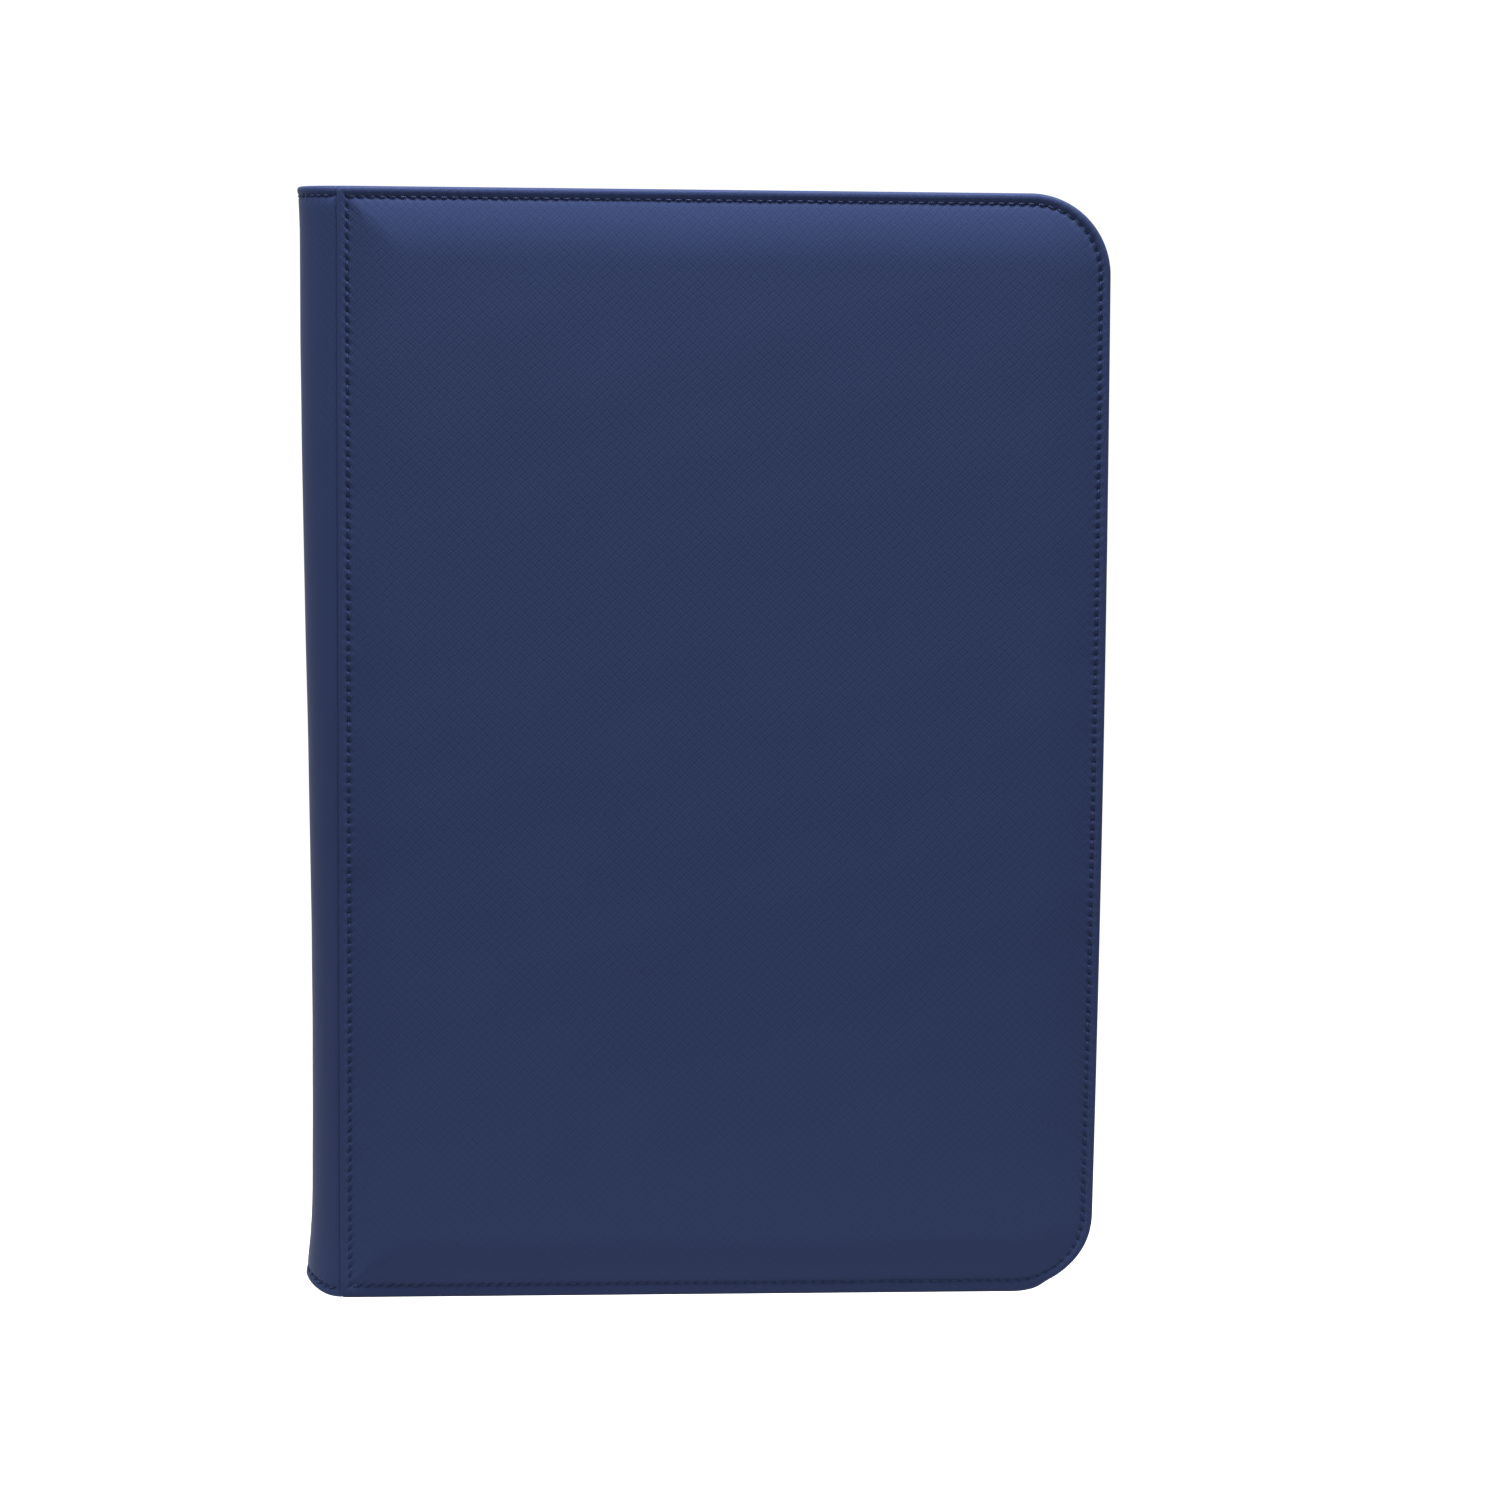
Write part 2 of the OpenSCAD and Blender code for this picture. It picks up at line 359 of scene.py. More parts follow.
def gunmetal():
    """Dark plated metal with bare, brighter wear and fine scratches."""
    plate, bare = (0.045, 0.047, 0.055), (0.22, 0.22, 0.23)
    s = Shader("gunmetal", plate, 0.3, Metallic=1.0)
    wear = s.math("POWER", s.noise(220, 4, 0.65), 4)
    scratches = s.noise(3000, 1)
    return s.finish(s.mix(wear, plate, bare), s.spread(scratches, 0.22, 0.36),
                    s.bump(scratches, 0.01 * MM, 0.3))


def page_sheet():
    """Black backing sheet with a fine pressed dot texture and welds where it is marked."""
    low, high, weld = (0.006, 0.006, 0.007), (0.012, 0.012, 0.014), (0.024, 0.024, 0.027)
    s = Shader("page_sheet", low, 0.5, Specular_IOR_Level=0.25)
    u, v = s.uv()
    dots = s.times(ridges(s, s.times(u, 1.1)), ridges(s, s.times(v, 1.1)))
    cloud = s.noise(30, 3)
    colour = s.mix(s.mark("weld"), s.mix(cloud, low, high), weld)
    return s.finish(colour, s.spread(cloud, 0.42, 0.6), s.bump(dots, 0.04 * MM, 0.6))


def page_film():
    """Clear film over the sheet, with slight haze and flow lines."""
    s = Shader("page_film", (0.06, 0.06, 0.07), 0.16, Specular_IOR_Level=0.6, Alpha=0.42)
    haze = s.noise(18, 3)
    lines = s.noise(60, 2, 0.4)
    return s.finish(s.mix(haze, (0.035, 0.035, 0.040), (0.075, 0.075, 0.085)),
                    s.spread(haze, 0.10, 0.22), s.bump(lines, 0.10 * MM, 0.35))


def hidden_stuff(name, low, high, scale, roughness):
    """Foam, board and the like, which show only if the covers are cut open."""
    s = Shader(name, high, roughness)
    patches = s.noise(scale, 4, 0.6)
    return s.finish(s.mix(patches, low, high), s.spread(patches, roughness - 0.1, roughness),
                    s.bump(patches, 0.2 * MM, 0.6))


GLOW_REACH_X, GLOW_REACH_Y, GLOW_RISE = 0.35, 0.17, 0.85


def stage_paint():
    """White paint that glows on the floor and backdrop, and more close to the binder."""
    s = Shader("pale_stage", (0.06, 0.06, 0.06), 0.9, Specular_IOR_Level=0.0)
    parts = s.node("ShaderNodeSeparateXYZ", s.place())
    squares = []
    for part, reach in zip(parts.outputs, (GLOW_REACH_X, GLOW_REACH_Y)):
        squares.append(s.math("POWER", s.math("ABSOLUTE", s.math("DIVIDE", part, reach)), 2.0))
    near = s.math("EXPONENT", s.times(s.plus(*squares), -1.0))
    s.set("Emission Color", (1, 1, 1, 1))
    s.to_surface("Emission Strength", s.plus(s.times(near, GLOW_RISE), 1.0))
    return s.finish(s.mix(s.noise(2, 2), (0.055, 0.055, 0.055), (0.065, 0.065, 0.065)))


LEATHER = leatherette()
THREAD = thread()
LINING = woven("black_lining", (0.004, 0.004, 0.006), (0.022, 0.023, 0.028), 0.55, slant=0.5)
ZIP_TAPE = woven("navy_zip_tape", (0.0035, 0.0050, 0.0125), (0.0130, 0.0190, 0.0470), 0.7, slant=1.0)
BINDING = woven("black_binding_tape", (0.004, 0.004, 0.005), (0.020, 0.020, 0.022), 0.8)
COIL = coil_nylon()
METAL = gunmetal()
SHEET = page_sheet()
FILM = page_film()
FOAM = hidden_stuff("foam", (0.42, 0.42, 0.38), (0.60, 0.60, 0.55), 900, 0.95)
BOARD = hidden_stuff("board", (0.20, 0.17, 0.13), (0.34, 0.30, 0.24), 500, 0.9)


# ---- the outline of a cover

def side_points(side, u, inset):
    """Points and normals on one side of the outline, from the middle of one corner to the next.

    u runs from 0 to 1 by length. The sides run on from foot to fore-edge, head and spine edge.
    """
    u = np.asarray(u, float)
    left, right = COVER_LEFT + inset, COVER_RIGHT - inset
    low, high = inset, HEIGHT - inset
    corners = [(left, low, SPINE_RADIUS), (right, low, FORE_RADIUS),
               (right, high, FORE_RADIUS), (left, high, SPINE_RADIUS)]
    (ax, az, ra), (bx, bz, rb) = corners[side], corners[(side + 1) % 4]
    ra, rb = max(ra - inset, 0), max(rb - inset, 0)
    start, end = np.array([ax, az]), np.array([bx, bz])
    length = np.linalg.norm(end - start)
    along = (end - start) / length
    out = np.array([along[1], -along[0]])
    arc_a, arc_b = ra * math.pi / 4, rb * math.pi / 4
    straight = length - ra - rb
    s = u * (arc_a + straight + arc_b)
    turn_a = np.where(s < arc_a, (arc_a - s) / max(ra, 1e-9), 0)
    turn_b = np.where(s > arc_a + straight, (s - arc_a - straight) / max(rb, 1e-9), 0)
    turn = turn_b - turn_a
    normal = np.outer(np.cos(turn), out) + np.outer(np.sin(turn), along)
    forward = np.clip(s - arc_a, 0, straight)
    radius = np.where(turn < 0, ra, rb)
    base = start + np.outer(forward + ra, along) - np.outer(radius, out)
    points = base + normal * radius[:, None]
    bow = FORE_EDGE_BOW * np.sin(math.pi * points[:, 1] / HEIGHT)
    points[:, 0] += bow * (points[:, 0] - COVER_LEFT) / (COVER_RIGHT - COVER_LEFT)
    return points, normal


def loop_points(inset, samples):
    """The whole outline as one closed loop, with that many samples for each stitch."""
    parts = []
    for side, count in STITCHES.items():
        u = np.arange(count * samples) / (count * samples)
        parts.append(side_points(side, u, inset)[0])
    loop = np.concatenate(parts)
    z = loop[:, 1] / MM
    loop[:, 1] += FOOT_SEAM_LIFT * smooth_step((z - 0.8) / 2.2) * (1 - smooth_step((z - 4) / 16))
    return loop


# ---- padded cover skin

# A cut through the rim, as inset and height above the lining, from the hidden turned edge
# over the rolled edge and the thread's groove to the start of the padding
RIM_CUT = [(2.6, 0.30), (1.5, 0.05), (0.75, 0.02), (0.30, 0.22), (0.06, 0.65), (0.0, 1.25),
           (0.0, 1.95), (0.09, 2.55), (0.34, 3.05), (0.75, 3.38), (1.25, 3.50), (1.75, 3.51),
           (2.2, 3.46), (2.55, 3.38), (2.85, 3.26), (3.15, 3.21), (3.55, 3.24), (4.0, 3.29),
           (4.5, 3.39), (5.1, 3.51), (6.0, 3.69), (7.2, 3.89)]
RIM_FLAT_ROW = 11
PAD_ROWS = [8.6, 10.2, 12.0, 14.0, 16.0, 18.0, 20.0, 22.0, 24.0]
GROOVE_START, GROOVE_END, GROOVE_BRIM = 2.0, 4.6, 3.46
LUMP_RISE, LUMP_WAVE = 0.10, 45 * MM
CREASE_RISE, CREASE_WAVE = 0.05, 14 * MM
# Near the foot, in mm, the groove is part filled and the stitches pull less
FOOT_REACH, FOOT_FILL, FOOT_EASE = 12.0, 0.5, 0.3
PAD_START, PAD_WIDTH = 4.0, 18.0
CROWN_WIDTH, CROWN_FOOT_WIDTH = 75.0, 220.0
PAD_FOOT, PAD_RISE, CROWN_RISE = 3.28, 1.94, 1.18


def pad_height(inset):
    """Height of the padding above the lining, in mm, from steep at the seam to level inside."""
    t = np.clip((inset - PAD_START) / PAD_WIDTH, 0, 1)
    return PAD_FOOT + PAD_RISE * (1 - (1 - t) ** 2)


def crown(x, z):
    """The slow rise of the padding towards the middle of the cover, in mm."""
    from_side = np.minimum(x - COVER_LEFT, COVER_RIGHT - x) / MM - PAD_START
    from_head = (HEIGHT - z) / MM - PAD_START
    from_foot = z / MM - PAD_START
    a = 1 - (1 - np.clip(from_side / CROWN_WIDTH, 0, 1)) ** 2
    b = 1 - (1 - np.clip(from_head / CROWN_WIDTH, 0, 1)) ** 2
    b = b * (1 - (1 - np.clip(from_foot / CROWN_FOOT_WIDTH, 0, 1)) ** 2)
    return CROWN_RISE * 2 * a * b / (a + b + 1e-9)


# How much painted shade darkens the leatherette inside a needle hole and along its foot, from 0 to 1,
# and how far in mm the holes, the painted shade on the bottom edge and the painted shade on the foot reach
HOLE_SHADE, FOOT_SHADE_AMOUNT = 0.25, 0.18
HOLE_REACH = 0.6
EDGE_SHADE_TOP, EDGE_SHADE_FADE = 0.45, 0.5
FOOT_SHADE_TOP, FOOT_SHADE_FADE = 2.5, 5.0


def stitch_pull(inset, phase):
    """How far the thread pulls the skin down, in mm, where phase counts whole stitches."""
    from_seam = np.abs(inset - SEAM_INSET / MM)
    at_hole = 0.5 + 0.5 * np.cos(2 * math.pi * phase)
    groove = np.exp(-(from_seam / 0.7) ** 2)
    pucker = np.exp(-(from_seam / 1.6) ** 2)
    return 0.36 * groove * at_hole ** 2 + 0.10 * pucker * at_hole


def above_lining(xz, height):
    """Points over the outline, at a height in mm above the lining."""
    return np.column_stack([xz[:, 0], LINING_Y + np.broadcast_to(height, len(xz)) * MM, xz[:, 1]])


def lumps(xz):
    """The padding's slow unevenness, in mm."""
    return LUMP_RISE * ripple(xz[:, 0], xz[:, 1], LUMP_WAVE, 1)


def pad_top(xz, inset):
    """The padding's smooth height above the lining, in mm."""
    return pad_height(inset) + crown(*xz.T)


def cover_piece(side, ending, stands_for, points, faces, material, uv=None, marks=None):
    """A piece that moves with one cover, from points drawn for the back cover."""
    cover = f"{SIDE_NAMES[side]}_cover"
    points, faces = on_side(points, faces, side)
    piece = make_piece(f"{cover}_{ending}", points, faces, material, uv, marks)
    belongs(piece, cover, f"{cover}_{stands_for}")
    return piece


def cover_skin(side):
    """The front or back cover's leatherette: turned edge, flat rim, stitched groove and padding."""
    fine_count = SEAM_STITCHES * SAMPLES_PER_STITCH
    sample = np.arange(fine_count)
    cut = np.array(RIM_CUT)
    run = lengths_along(cut)
    unrolled = run - run[RIM_FLAT_ROW] + cut[RIM_FLAT_ROW, 0]
    points, uv, shades = [], [], []
    for (inset, height), lay in zip(cut, unrolled):
        xz = loop_points(inset * MM, SAMPLES_PER_STITCH)
        z = xz[:, 1] / MM
        outside = smooth_step((height - 1.0) / 2.0)
        foot = 1 - smooth_step(z / FOOT_REACH)
        filled = FOOT_FILL * foot * (GROOVE_BRIM - height) * (GROOVE_START < inset < GROOVE_END)
        pull = (1 - FOOT_EASE * foot) * stitch_pull(inset, sample / SAMPLES_PER_STITCH)
        creases = CREASE_RISE * ripple(xz[:, 0], xz[:, 1], CREASE_WAVE, 2)
        lift = height + filled + crown(*xz.T) + outside * (lumps(xz) + creases - pull)
        points.append(above_lining(xz, lift))
        uv.append(loop_points(lay * MM, SAMPLES_PER_STITCH))
        # painted shade inside the needle holes of the seam
        hole = (sample % SAMPLES_PER_STITCH == 0) * np.exp(-((inset - SEAM_INSET / MM) / HOLE_REACH) ** 2)
        # painted shade along the bottom edge, where the rolled edge turns down, and a fainter painted shade
        # over the foot
        edge_shade = 1 - smooth_step((z - EDGE_SHADE_TOP) / EDGE_SHADE_FADE)
        foot_shade = FOOT_SHADE_AMOUNT * (1 - smooth_step((z - FOOT_SHADE_TOP) / FOOT_SHADE_FADE))
        shades.append(np.maximum(HOLE_SHADE * hole + foot_shade, edge_shade))
    faces = grid_faces(len(cut), fine_count, closed=True)
    pad_start, pad_end = PAD_ROWS[0], PAD_ROWS[-1]
    for inset in PAD_ROWS:
        xz = loop_points(inset * MM, 1)
        points.append(above_lining(xz, pad_top(xz, inset) + lumps(xz)))
        drift = (unrolled[-1] - cut[-1, 0]) * (pad_end - inset) / (pad_end - pad_start)
        uv.append(loop_points((inset + drift) * MM, 1))
        shades.append(np.zeros(SEAM_STITCHES))
    first = len(cut) * fine_count
    last_fine = first - fine_count
    for i in range(SEAM_STITCHES):
        j = (i + 1) % SEAM_STITCHES
        outer = [last_fine + (i * SAMPLES_PER_STITCH + k) % fine_count
                 for k in range(SAMPLES_PER_STITCH + 1)]
        faces.append(tuple(outer + [first + j, first + i]))
    faces += grid_faces(len(PAD_ROWS), SEAM_STITCHES, closed=True, first=first)
    middle, middle_faces = middle_grid(xz, first + (len(PAD_ROWS) - 1) * SEAM_STITCHES)
    points.append(above_lining(middle, pad_top(middle, pad_end) + lumps(middle)))
    uv.append(middle)
    shades.append(np.zeros(len(middle)))
    skin = cover_piece(side, "padded_skin", "skin", np.concatenate(points),
                       flipped(faces + middle_faces), LEATHER, np.concatenate(uv),
                       {"shade": np.concatenate(shades)})


def middle_grid(border, border_first):
    """Fills the rectangle inside the last loop: its new points and the quads out to the loop."""
    wide, tall = STITCHES[FOOT], STITCHES[FORE_EDGE]
    first = border_first + len(border)
    foot = border[:wide + 1]
    right = border[wide:wide + tall + 1]
    head = border[wide + tall:2 * wide + tall + 1][::-1]
    left = np.concatenate([border[2 * wide + tall:], border[:1]])[::-1]
    index = np.empty((tall + 1, wide + 1), int)
    index[0] = border_first + np.arange(wide + 1)
    index[:, wide] = border_first + wide + np.arange(tall + 1)
    index[tall] = border_first + (2 * wide + tall - np.arange(wide + 1))
    index[:, 0] = border_first + (2 * (wide + tall) - np.arange(tall + 1)) % len(border)
    inner = np.arange((tall - 1) * (wide - 1)).reshape(tall - 1, wide - 1) + first
    index[1:tall, 1:wide] = inner
    points = []
    for r in range(1, tall):
        t = np.arange(1, wide) / wide
        across = np.outer(1 - t, left[r]) + np.outer(t, right[r])
        v = r / tall
        lift = (1 - v) * foot[1:wide, 1] + v * head[1:wide, 1]
        points.append(np.column_stack([across[:, 0], lift]))
    faces = [(index[r, c], index[r, c + 1], index[r + 1, c + 1], index[r + 1, c])
             for r in range(tall) for c in range(wide)]
    return np.concatenate(points), [tuple(int(i) for i in f) for f in faces]


# ---- sewing thread

THREAD_RADIUS = 0.27 * MM
THREAD_SIDES = 8
# Along one stitch: how far along, how high above the groove in mm, and how full the thread is
STITCH_SHAPE = np.array([(0.13, -0.55, 0.6), (0.19, -0.24, 0.9), (0.30, 0.02, 1.0), (0.5, 0.10, 1.0),
                         (0.70, 0.02, 1.0), (0.81, -0.24, 0.9), (0.87, -0.55, 0.6)])


def stitch_tubes(starts, ends, normals, slants):
    """A short bowed tube for each stitch: its points, faces and thread coordinates."""
    count, rings = len(starts), len(STITCH_SHAPE)
    t, rise, full = STITCH_SHAPE.T
    run = ends - starts
    length = np.linalg.norm(run, axis=1, keepdims=True)
    along = run / length
    across = np.cross(normals, along)
    centre = (starts[:, None] + run[:, None] * t[None, :, None]
              + normals[:, None] * (rise * MM)[None, :, None]
              + across[:, None] * (slants[:, None] * (t - 0.5)[None])[..., None])
    ring = rings_round(across, normals, THREAD_SIDES)[:, None]
    points = centre[:, :, None] + ring * (full * THREAD_RADIUS)[None, :, None, None]
    faces = []
    for i in range(count):
        faces += tube_faces(rings, THREAD_SIDES, i * rings * THREAD_SIDES)
    u = np.broadcast_to((t[None, :] * length)[:, :, None], (count, rings, THREAD_SIDES))
    v = np.broadcast_to(np.arange(THREAD_SIDES) / THREAD_SIDES * 2 * MM, (count, rings, THREAD_SIDES))
    return points.reshape(-1, 3), faces, np.stack([u, v], -1).reshape(-1, 2)


def join(parts):
    """Several (points, faces, uv) sets as one."""
    points, faces, uv, first = [], [], [], 0
    for p, f, t in parts:
        points.append(p)
        faces += [tuple(first + i for i in face) for face in f]
        uv.append(t)
        first += len(p)
    return np.concatenate(points), faces, np.concatenate(uv)


def seam_row(height, outward):
    """The row of stitches all round a cover, on its outer face or its lining."""
    holes = above_lining(loop_points(SEAM_INSET, 1), height)
    normals = np.tile([0.0, outward, 0.0], (len(holes), 1))
    slants = 0.16 * MM * (1 + 0.4 * np.sin(np.arange(len(holes)) * 2.1))
    return stitch_tubes(holes, np.roll(holes, -1, axis=0), normals, slants)


def cover_stitching(side):
    points, faces, uv = join([seam_row(3.10, 1.0), seam_row(-0.02, -1.0)])
    cover_piece(side, "thread", "stitching", points, faces, THREAD, uv)


# ---- lining

LINING_CUT = [(1.3, 0.45), (1.2, 0.25), (1.35, 0.02), (1.8, -0.12), (2.5, -0.08), (2.9, 0.04), (3.3, 0.06),
              (3.8, -0.06), (5.0, -0.10), (8.0, -0.10), (14.0, -0.10), (24.0, -0.10)]
LINING_SLACK, LINING_WAVE = 0.04, 30 * MM


def cover_lining(side):
    """The cloth inside a cover, turned under at its edge and drawn down along the seam."""
    loops = [loop_points(inset * MM, 1) for inset, _ in LINING_CUT]
    faces = grid_faces(len(loops), SEAM_STITCHES, closed=True)
    middle, middle_faces = middle_grid(loops[-1], (len(loops) - 1) * SEAM_STITCHES)
    heights = [height for _, height in LINING_CUT]
    points = []
    for xz, height in zip(loops + [middle], heights + heights[-1:]):
        slack = LINING_SLACK * ripple(xz[:, 0], xz[:, 1], LINING_WAVE, 4)
        points.append(above_lining(xz, height + slack))
    piece = cover_piece(side, "cloth", "lining", np.concatenate(points),
                        faces + middle_faces, LINING, np.concatenate(loops + [middle]))


# ---- foam under the padded skin

FOAM_CUT = [(3.9, 2.34), (4.1, 2.45), (5.1, 2.62), (6.0, 2.82), (7.2, 3.02)]
FOAM_BELOW_SKIN = 0.85


def cover_foam(side):
    """The sheet of foam that fills the padding, a little below the skin."""
    loops = [loop_points(inset * MM, 1) for inset, _ in FOAM_CUT]
    points = [above_lining(xz, height) for xz, (_, height) in zip(loops, FOAM_CUT)]
    for inset in PAD_ROWS:
        xz = loop_points(inset * MM, 1)
        points.append(above_lining(xz, pad_top(xz, inset) - FOAM_BELOW_SKIN))
    middle, middle_faces = middle_grid(xz, (len(points) - 1) * SEAM_STITCHES)
    faces = grid_faces(len(points), SEAM_STITCHES, closed=True)
    points.append(above_lining(middle, pad_top(middle, PAD_ROWS[-1]) - FOAM_BELOW_SKIN))
    faces = flipped(faces + middle_faces) + [tuple(range(SEAM_STITCHES))]
    piece = cover_piece(side, "padding", "foam", np.concatenate(points), faces, FOAM)


# ---- spine

SPINE_ROOT_Y = 16.45 * MM
SPINE_DEPTH = 2.9 * MM
STRIP_DEPTH = 0.8 * MM
# How the outer skin and the inner lining run on from the arc, under the edge of a cover
TUCK_OUTER = [(-116.1, 16.72), (-115.5, 16.97), (-115.0, 17.02), (-114.2, 16.7), (-113.0, 16.3)]
TUCK_INNER = [(-115.0, 14.15), (-114.5, 14.40), (-113.8, 14.58), (-113.0, 14.66), (-112.2, 14.7)]
SPINE_STITCHES = 7
SPINE_SEAM = 3 * MM
# About half the angle that the spine bends through, and the radius and tuck steps of its texture
SPINE_HALF_ANGLE, SPINE_LAY_RADIUS, TUCK_STEP = 1.1, 18.5 * MM, 0.8 * MM
# The number of columns round half the spine, so many for each stitch
SPINE_COLUMNS = SPINE_STITCHES * SAMPLES_PER_STITCH


def spine_bulge(z):
    """How far the spine stands out from the covers, in metres: fuller above, flared at both ends."""
    foot = 2.6 * np.exp(-z / (14 * MM))
    head = 1.1 * np.exp(-(HEIGHT - z) / (5 * MM))
    return (9.1 + 2.9 * smooth_step((z - 80 * MM) / (240 * MM)) + foot + head) * MM


def spine_arc(z):
    """The circle that the spine's outer skin follows at each height: its centre and radius."""
    apex = COVER_LEFT - spine_bulge(z)
    rise = -115.9 * MM - apex
    radius = ((16.9 * MM) ** 2 + rise ** 2) / (2 * rise)
    return apex + radius, radius


def spine_points(z, depth, share):
    """Points of the spine at a depth below its skin; share is 0 at the middle and 1 at the cover."""
    centre, radius = spine_arc(z)
    angle = share * np.arcsin(SPINE_ROOT_Y / radius)
    r = radius - depth
    return centre - r * np.cos(angle), r * np.sin(angle)


def spine_row(z, depth):
    """One row round half a spine, from just past the middle to its hidden end under the cover."""
    share = np.arange(SPINE_COLUMNS + 1) / SPINE_COLUMNS
    z = np.broadcast_to(z, share.shape)
    depth = np.broadcast_to(depth, share.shape)
    x, y = spine_points(z, depth, share)
    deep = depth[-1] / SPINE_DEPTH
    tuck = (1 - deep) * np.array(TUCK_OUTER) + deep * np.array(TUCK_INNER)
    x = np.concatenate([x, tuck[:, 0] * MM])
    y = np.concatenate([y, tuck[:, 1] * MM])
    under_x, under_y = spine_points(z[:1], depth[:1] + 0.08 * MM, np.array([-1.0 / SPINE_COLUMNS]))
    return np.concatenate([under_x, x]), np.concatenate([under_y, y])


# The share of the way from the spine's middle to the cover, for each point of a spine row
SPINE_SHARES = np.concatenate([[0.0], np.arange(SPINE_COLUMNS + 1) / SPINE_COLUMNS,
                               np.ones(len(TUCK_OUTER))])


def foot_lift(z, share):
    """The spine's foot is cut a little shorter in the middle than beside the covers."""
    return 3.4 * MM * np.cos(share * math.pi / 2) ** 2 * (1 - smooth_step(z / (60 * MM)))


# From the turned-in edge, round the rolled end, over the stitched groove: from the end, and depth
HEM_CUT = [(12.0, 2.45), (6.0, 2.6), (3.8, 2.72), (3.0, 2.55), (2.2, 2.74), (1.2, 2.72), (0.5, 2.42),
           (0.1, 1.9), (0.0, 1.4), (0.1, 0.85), (0.45, 0.36), (1.0, 0.08), (1.7, 0.0), (2.3, 0.10),
           (2.7, 0.27), (3.0, 0.36), (3.35, 0.25), (3.8, 0.10), (4.5, 0.0), (6.5, -0.06), (9.0, -0.06)]


def spine_piece(side, kind, node, points, faces, material, uv):
    """Half a layer of the spine, curving round to the cover beside it."""
    name = SIDE_NAMES[side]
    marks = {"shade": uv[:, 2]} if uv.shape[1] == 3 else None
    piece = make_piece(f"spine_{kind}_{name}", points, faces, material, uv[:, :2], marks)
    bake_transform(piece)
    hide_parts(node)
    return piece


def spine_skin(side):
    """Half the spine's leatherette, from its middle to the gutter beside a cover."""
    ends = np.array(HEM_CUT) * MM
    middle = [(z, 0.0) for z in np.arange(14, 340, 5.5) * MM]
    rows = np.concatenate([ends, middle, (ends * [-1, 1] + [HEIGHT, 0])[::-1]])
    share = SPINE_SHARES
    tuck = len(TUCK_OUTER)
    on_skin = np.arange(len(share)) < len(share) - tuck
    phase = np.concatenate([[-1], np.arange(SPINE_COLUMNS + 1), np.full(tuck, 2)]) / SAMPLES_PER_STITCH
    lay = lengths_along(rows)
    on_arc = SPINE_LAY_RADIUS * SPINE_HALF_ANGLE * share
    on_arc[-tuck:] += np.arange(1, tuck + 1) * TUCK_STEP
    points, uv = [], []
    for (z, depth), v in zip(rows, lay):
        from_end = min(z, HEIGHT - z) / MM
        outside = smooth_step((1.6 - depth / MM) / 1.2)
        pull = outside * stitch_pull(from_end, phase) * (from_end < 9)
        waves = 0.10 * outside * ripple(on_arc * side, np.full(len(share), z), 40 * MM, 6)
        x, y = spine_row(z, depth)
        shift = (waves - pull) * MM * on_skin
        points.append(np.column_stack([x - np.cos(share * SPINE_HALF_ANGLE) * shift,
                                       side * (y + np.sin(share * SPINE_HALF_ANGLE) * shift),
                                       z + foot_lift(z, share)]))
        in_seam = abs(from_end - SPINE_SEAM / MM) < 0.1 and depth < 1 * MM
        # painted shade inside the needle holes of the spine's hem seam, carried in the shade mark
        hole = on_skin & np.isclose(phase % 1, 0) & in_seam
        uv.append(np.column_stack([on_arc * side, np.full(len(share), v), HOLE_SHADE * hole]))
    faces = grid_faces(len(rows), len(share))
    if side == BACK:
        faces = flipped(faces)
    skin = spine_piece(side, "skin", "spine_skin", np.concatenate(points), faces,
                       LEATHER, np.concatenate(uv))


def inner_layer(side, kind, node, rows, faces_out, width, material):
    """Half a layer inside the spine, from (z, depth) rows in metres."""
    share = SPINE_SHARES
    points, uv = [], []
    for z, depth in rows:
        x, y = spine_row(z, depth)
        points.append(np.column_stack([x, side * y, z + foot_lift(z, share)]))
        uv.append(np.column_stack([width * share, np.full(len(share), z)]))
    faces = grid_faces(len(rows), len(share))
    if (side == BACK) == faces_out:
        faces = flipped(faces)
    return spine_piece(side, kind, node, np.concatenate(points), faces, material, np.concatenate(uv))


def spine_board(side):
    """Half the thin board in the spine, open only at the spine's middle."""
    gap, outer, inner = 5 * MM, 1.25 * MM, 2.2 * MM
    rows = [(gap, inner), (gap, outer)]
    rows += [(z, outer) for z in np.linspace(gap, HEIGHT - gap, 45)]
    rows += [(HEIGHT - gap, outer), (HEIGHT - gap, inner)]
    inner_layer(side, "board", "spine_board", rows, True, 20 * MM, BOARD)


def spine_lining(side):
    """Half the cloth inside the spine, turned under at both ends."""
    ends = np.array([(8.5, 2.45), (4.4, 2.55), (4.1, 2.75), (4.5, 2.92), (5.5, 2.9)]) * MM
    middle = [(z, SPINE_DEPTH) for z in np.arange(12, 340, 7.5) * MM]
    rows = np.concatenate([ends, middle, (ends * [-1, 1] + [HEIGHT, 0])[::-1]])
    piece = inner_layer(side, "cloth", "spine_lining", rows, False, 18 * MM, LINING)


def spine_hem_row(side, at_head, depth, outward):
    """Stitches round half the spine, near its foot or head, outside or inside."""
    share = np.arange(SPINE_STITCHES + 1) / SPINE_STITCHES
    z = HEIGHT - SPINE_SEAM if at_head else SPINE_SEAM
    x, y = spine_points(np.full(len(share), z), np.full(len(share), depth), share)
    holes = np.column_stack([x, side * y, z + foot_lift(z, share)])
    angle = share * SPINE_HALF_ANGLE
    normals = np.column_stack([-np.cos(angle), side * np.sin(angle), 0 * share]) * outward
    middle = unit((normals[:-1] + normals[1:]) / 2)
    bow = middle * 0.06 * MM
    return stitch_tubes(holes[:-1] + bow, holes[1:] + bow, middle, np.full(SPINE_STITCHES, 0.14 * MM))


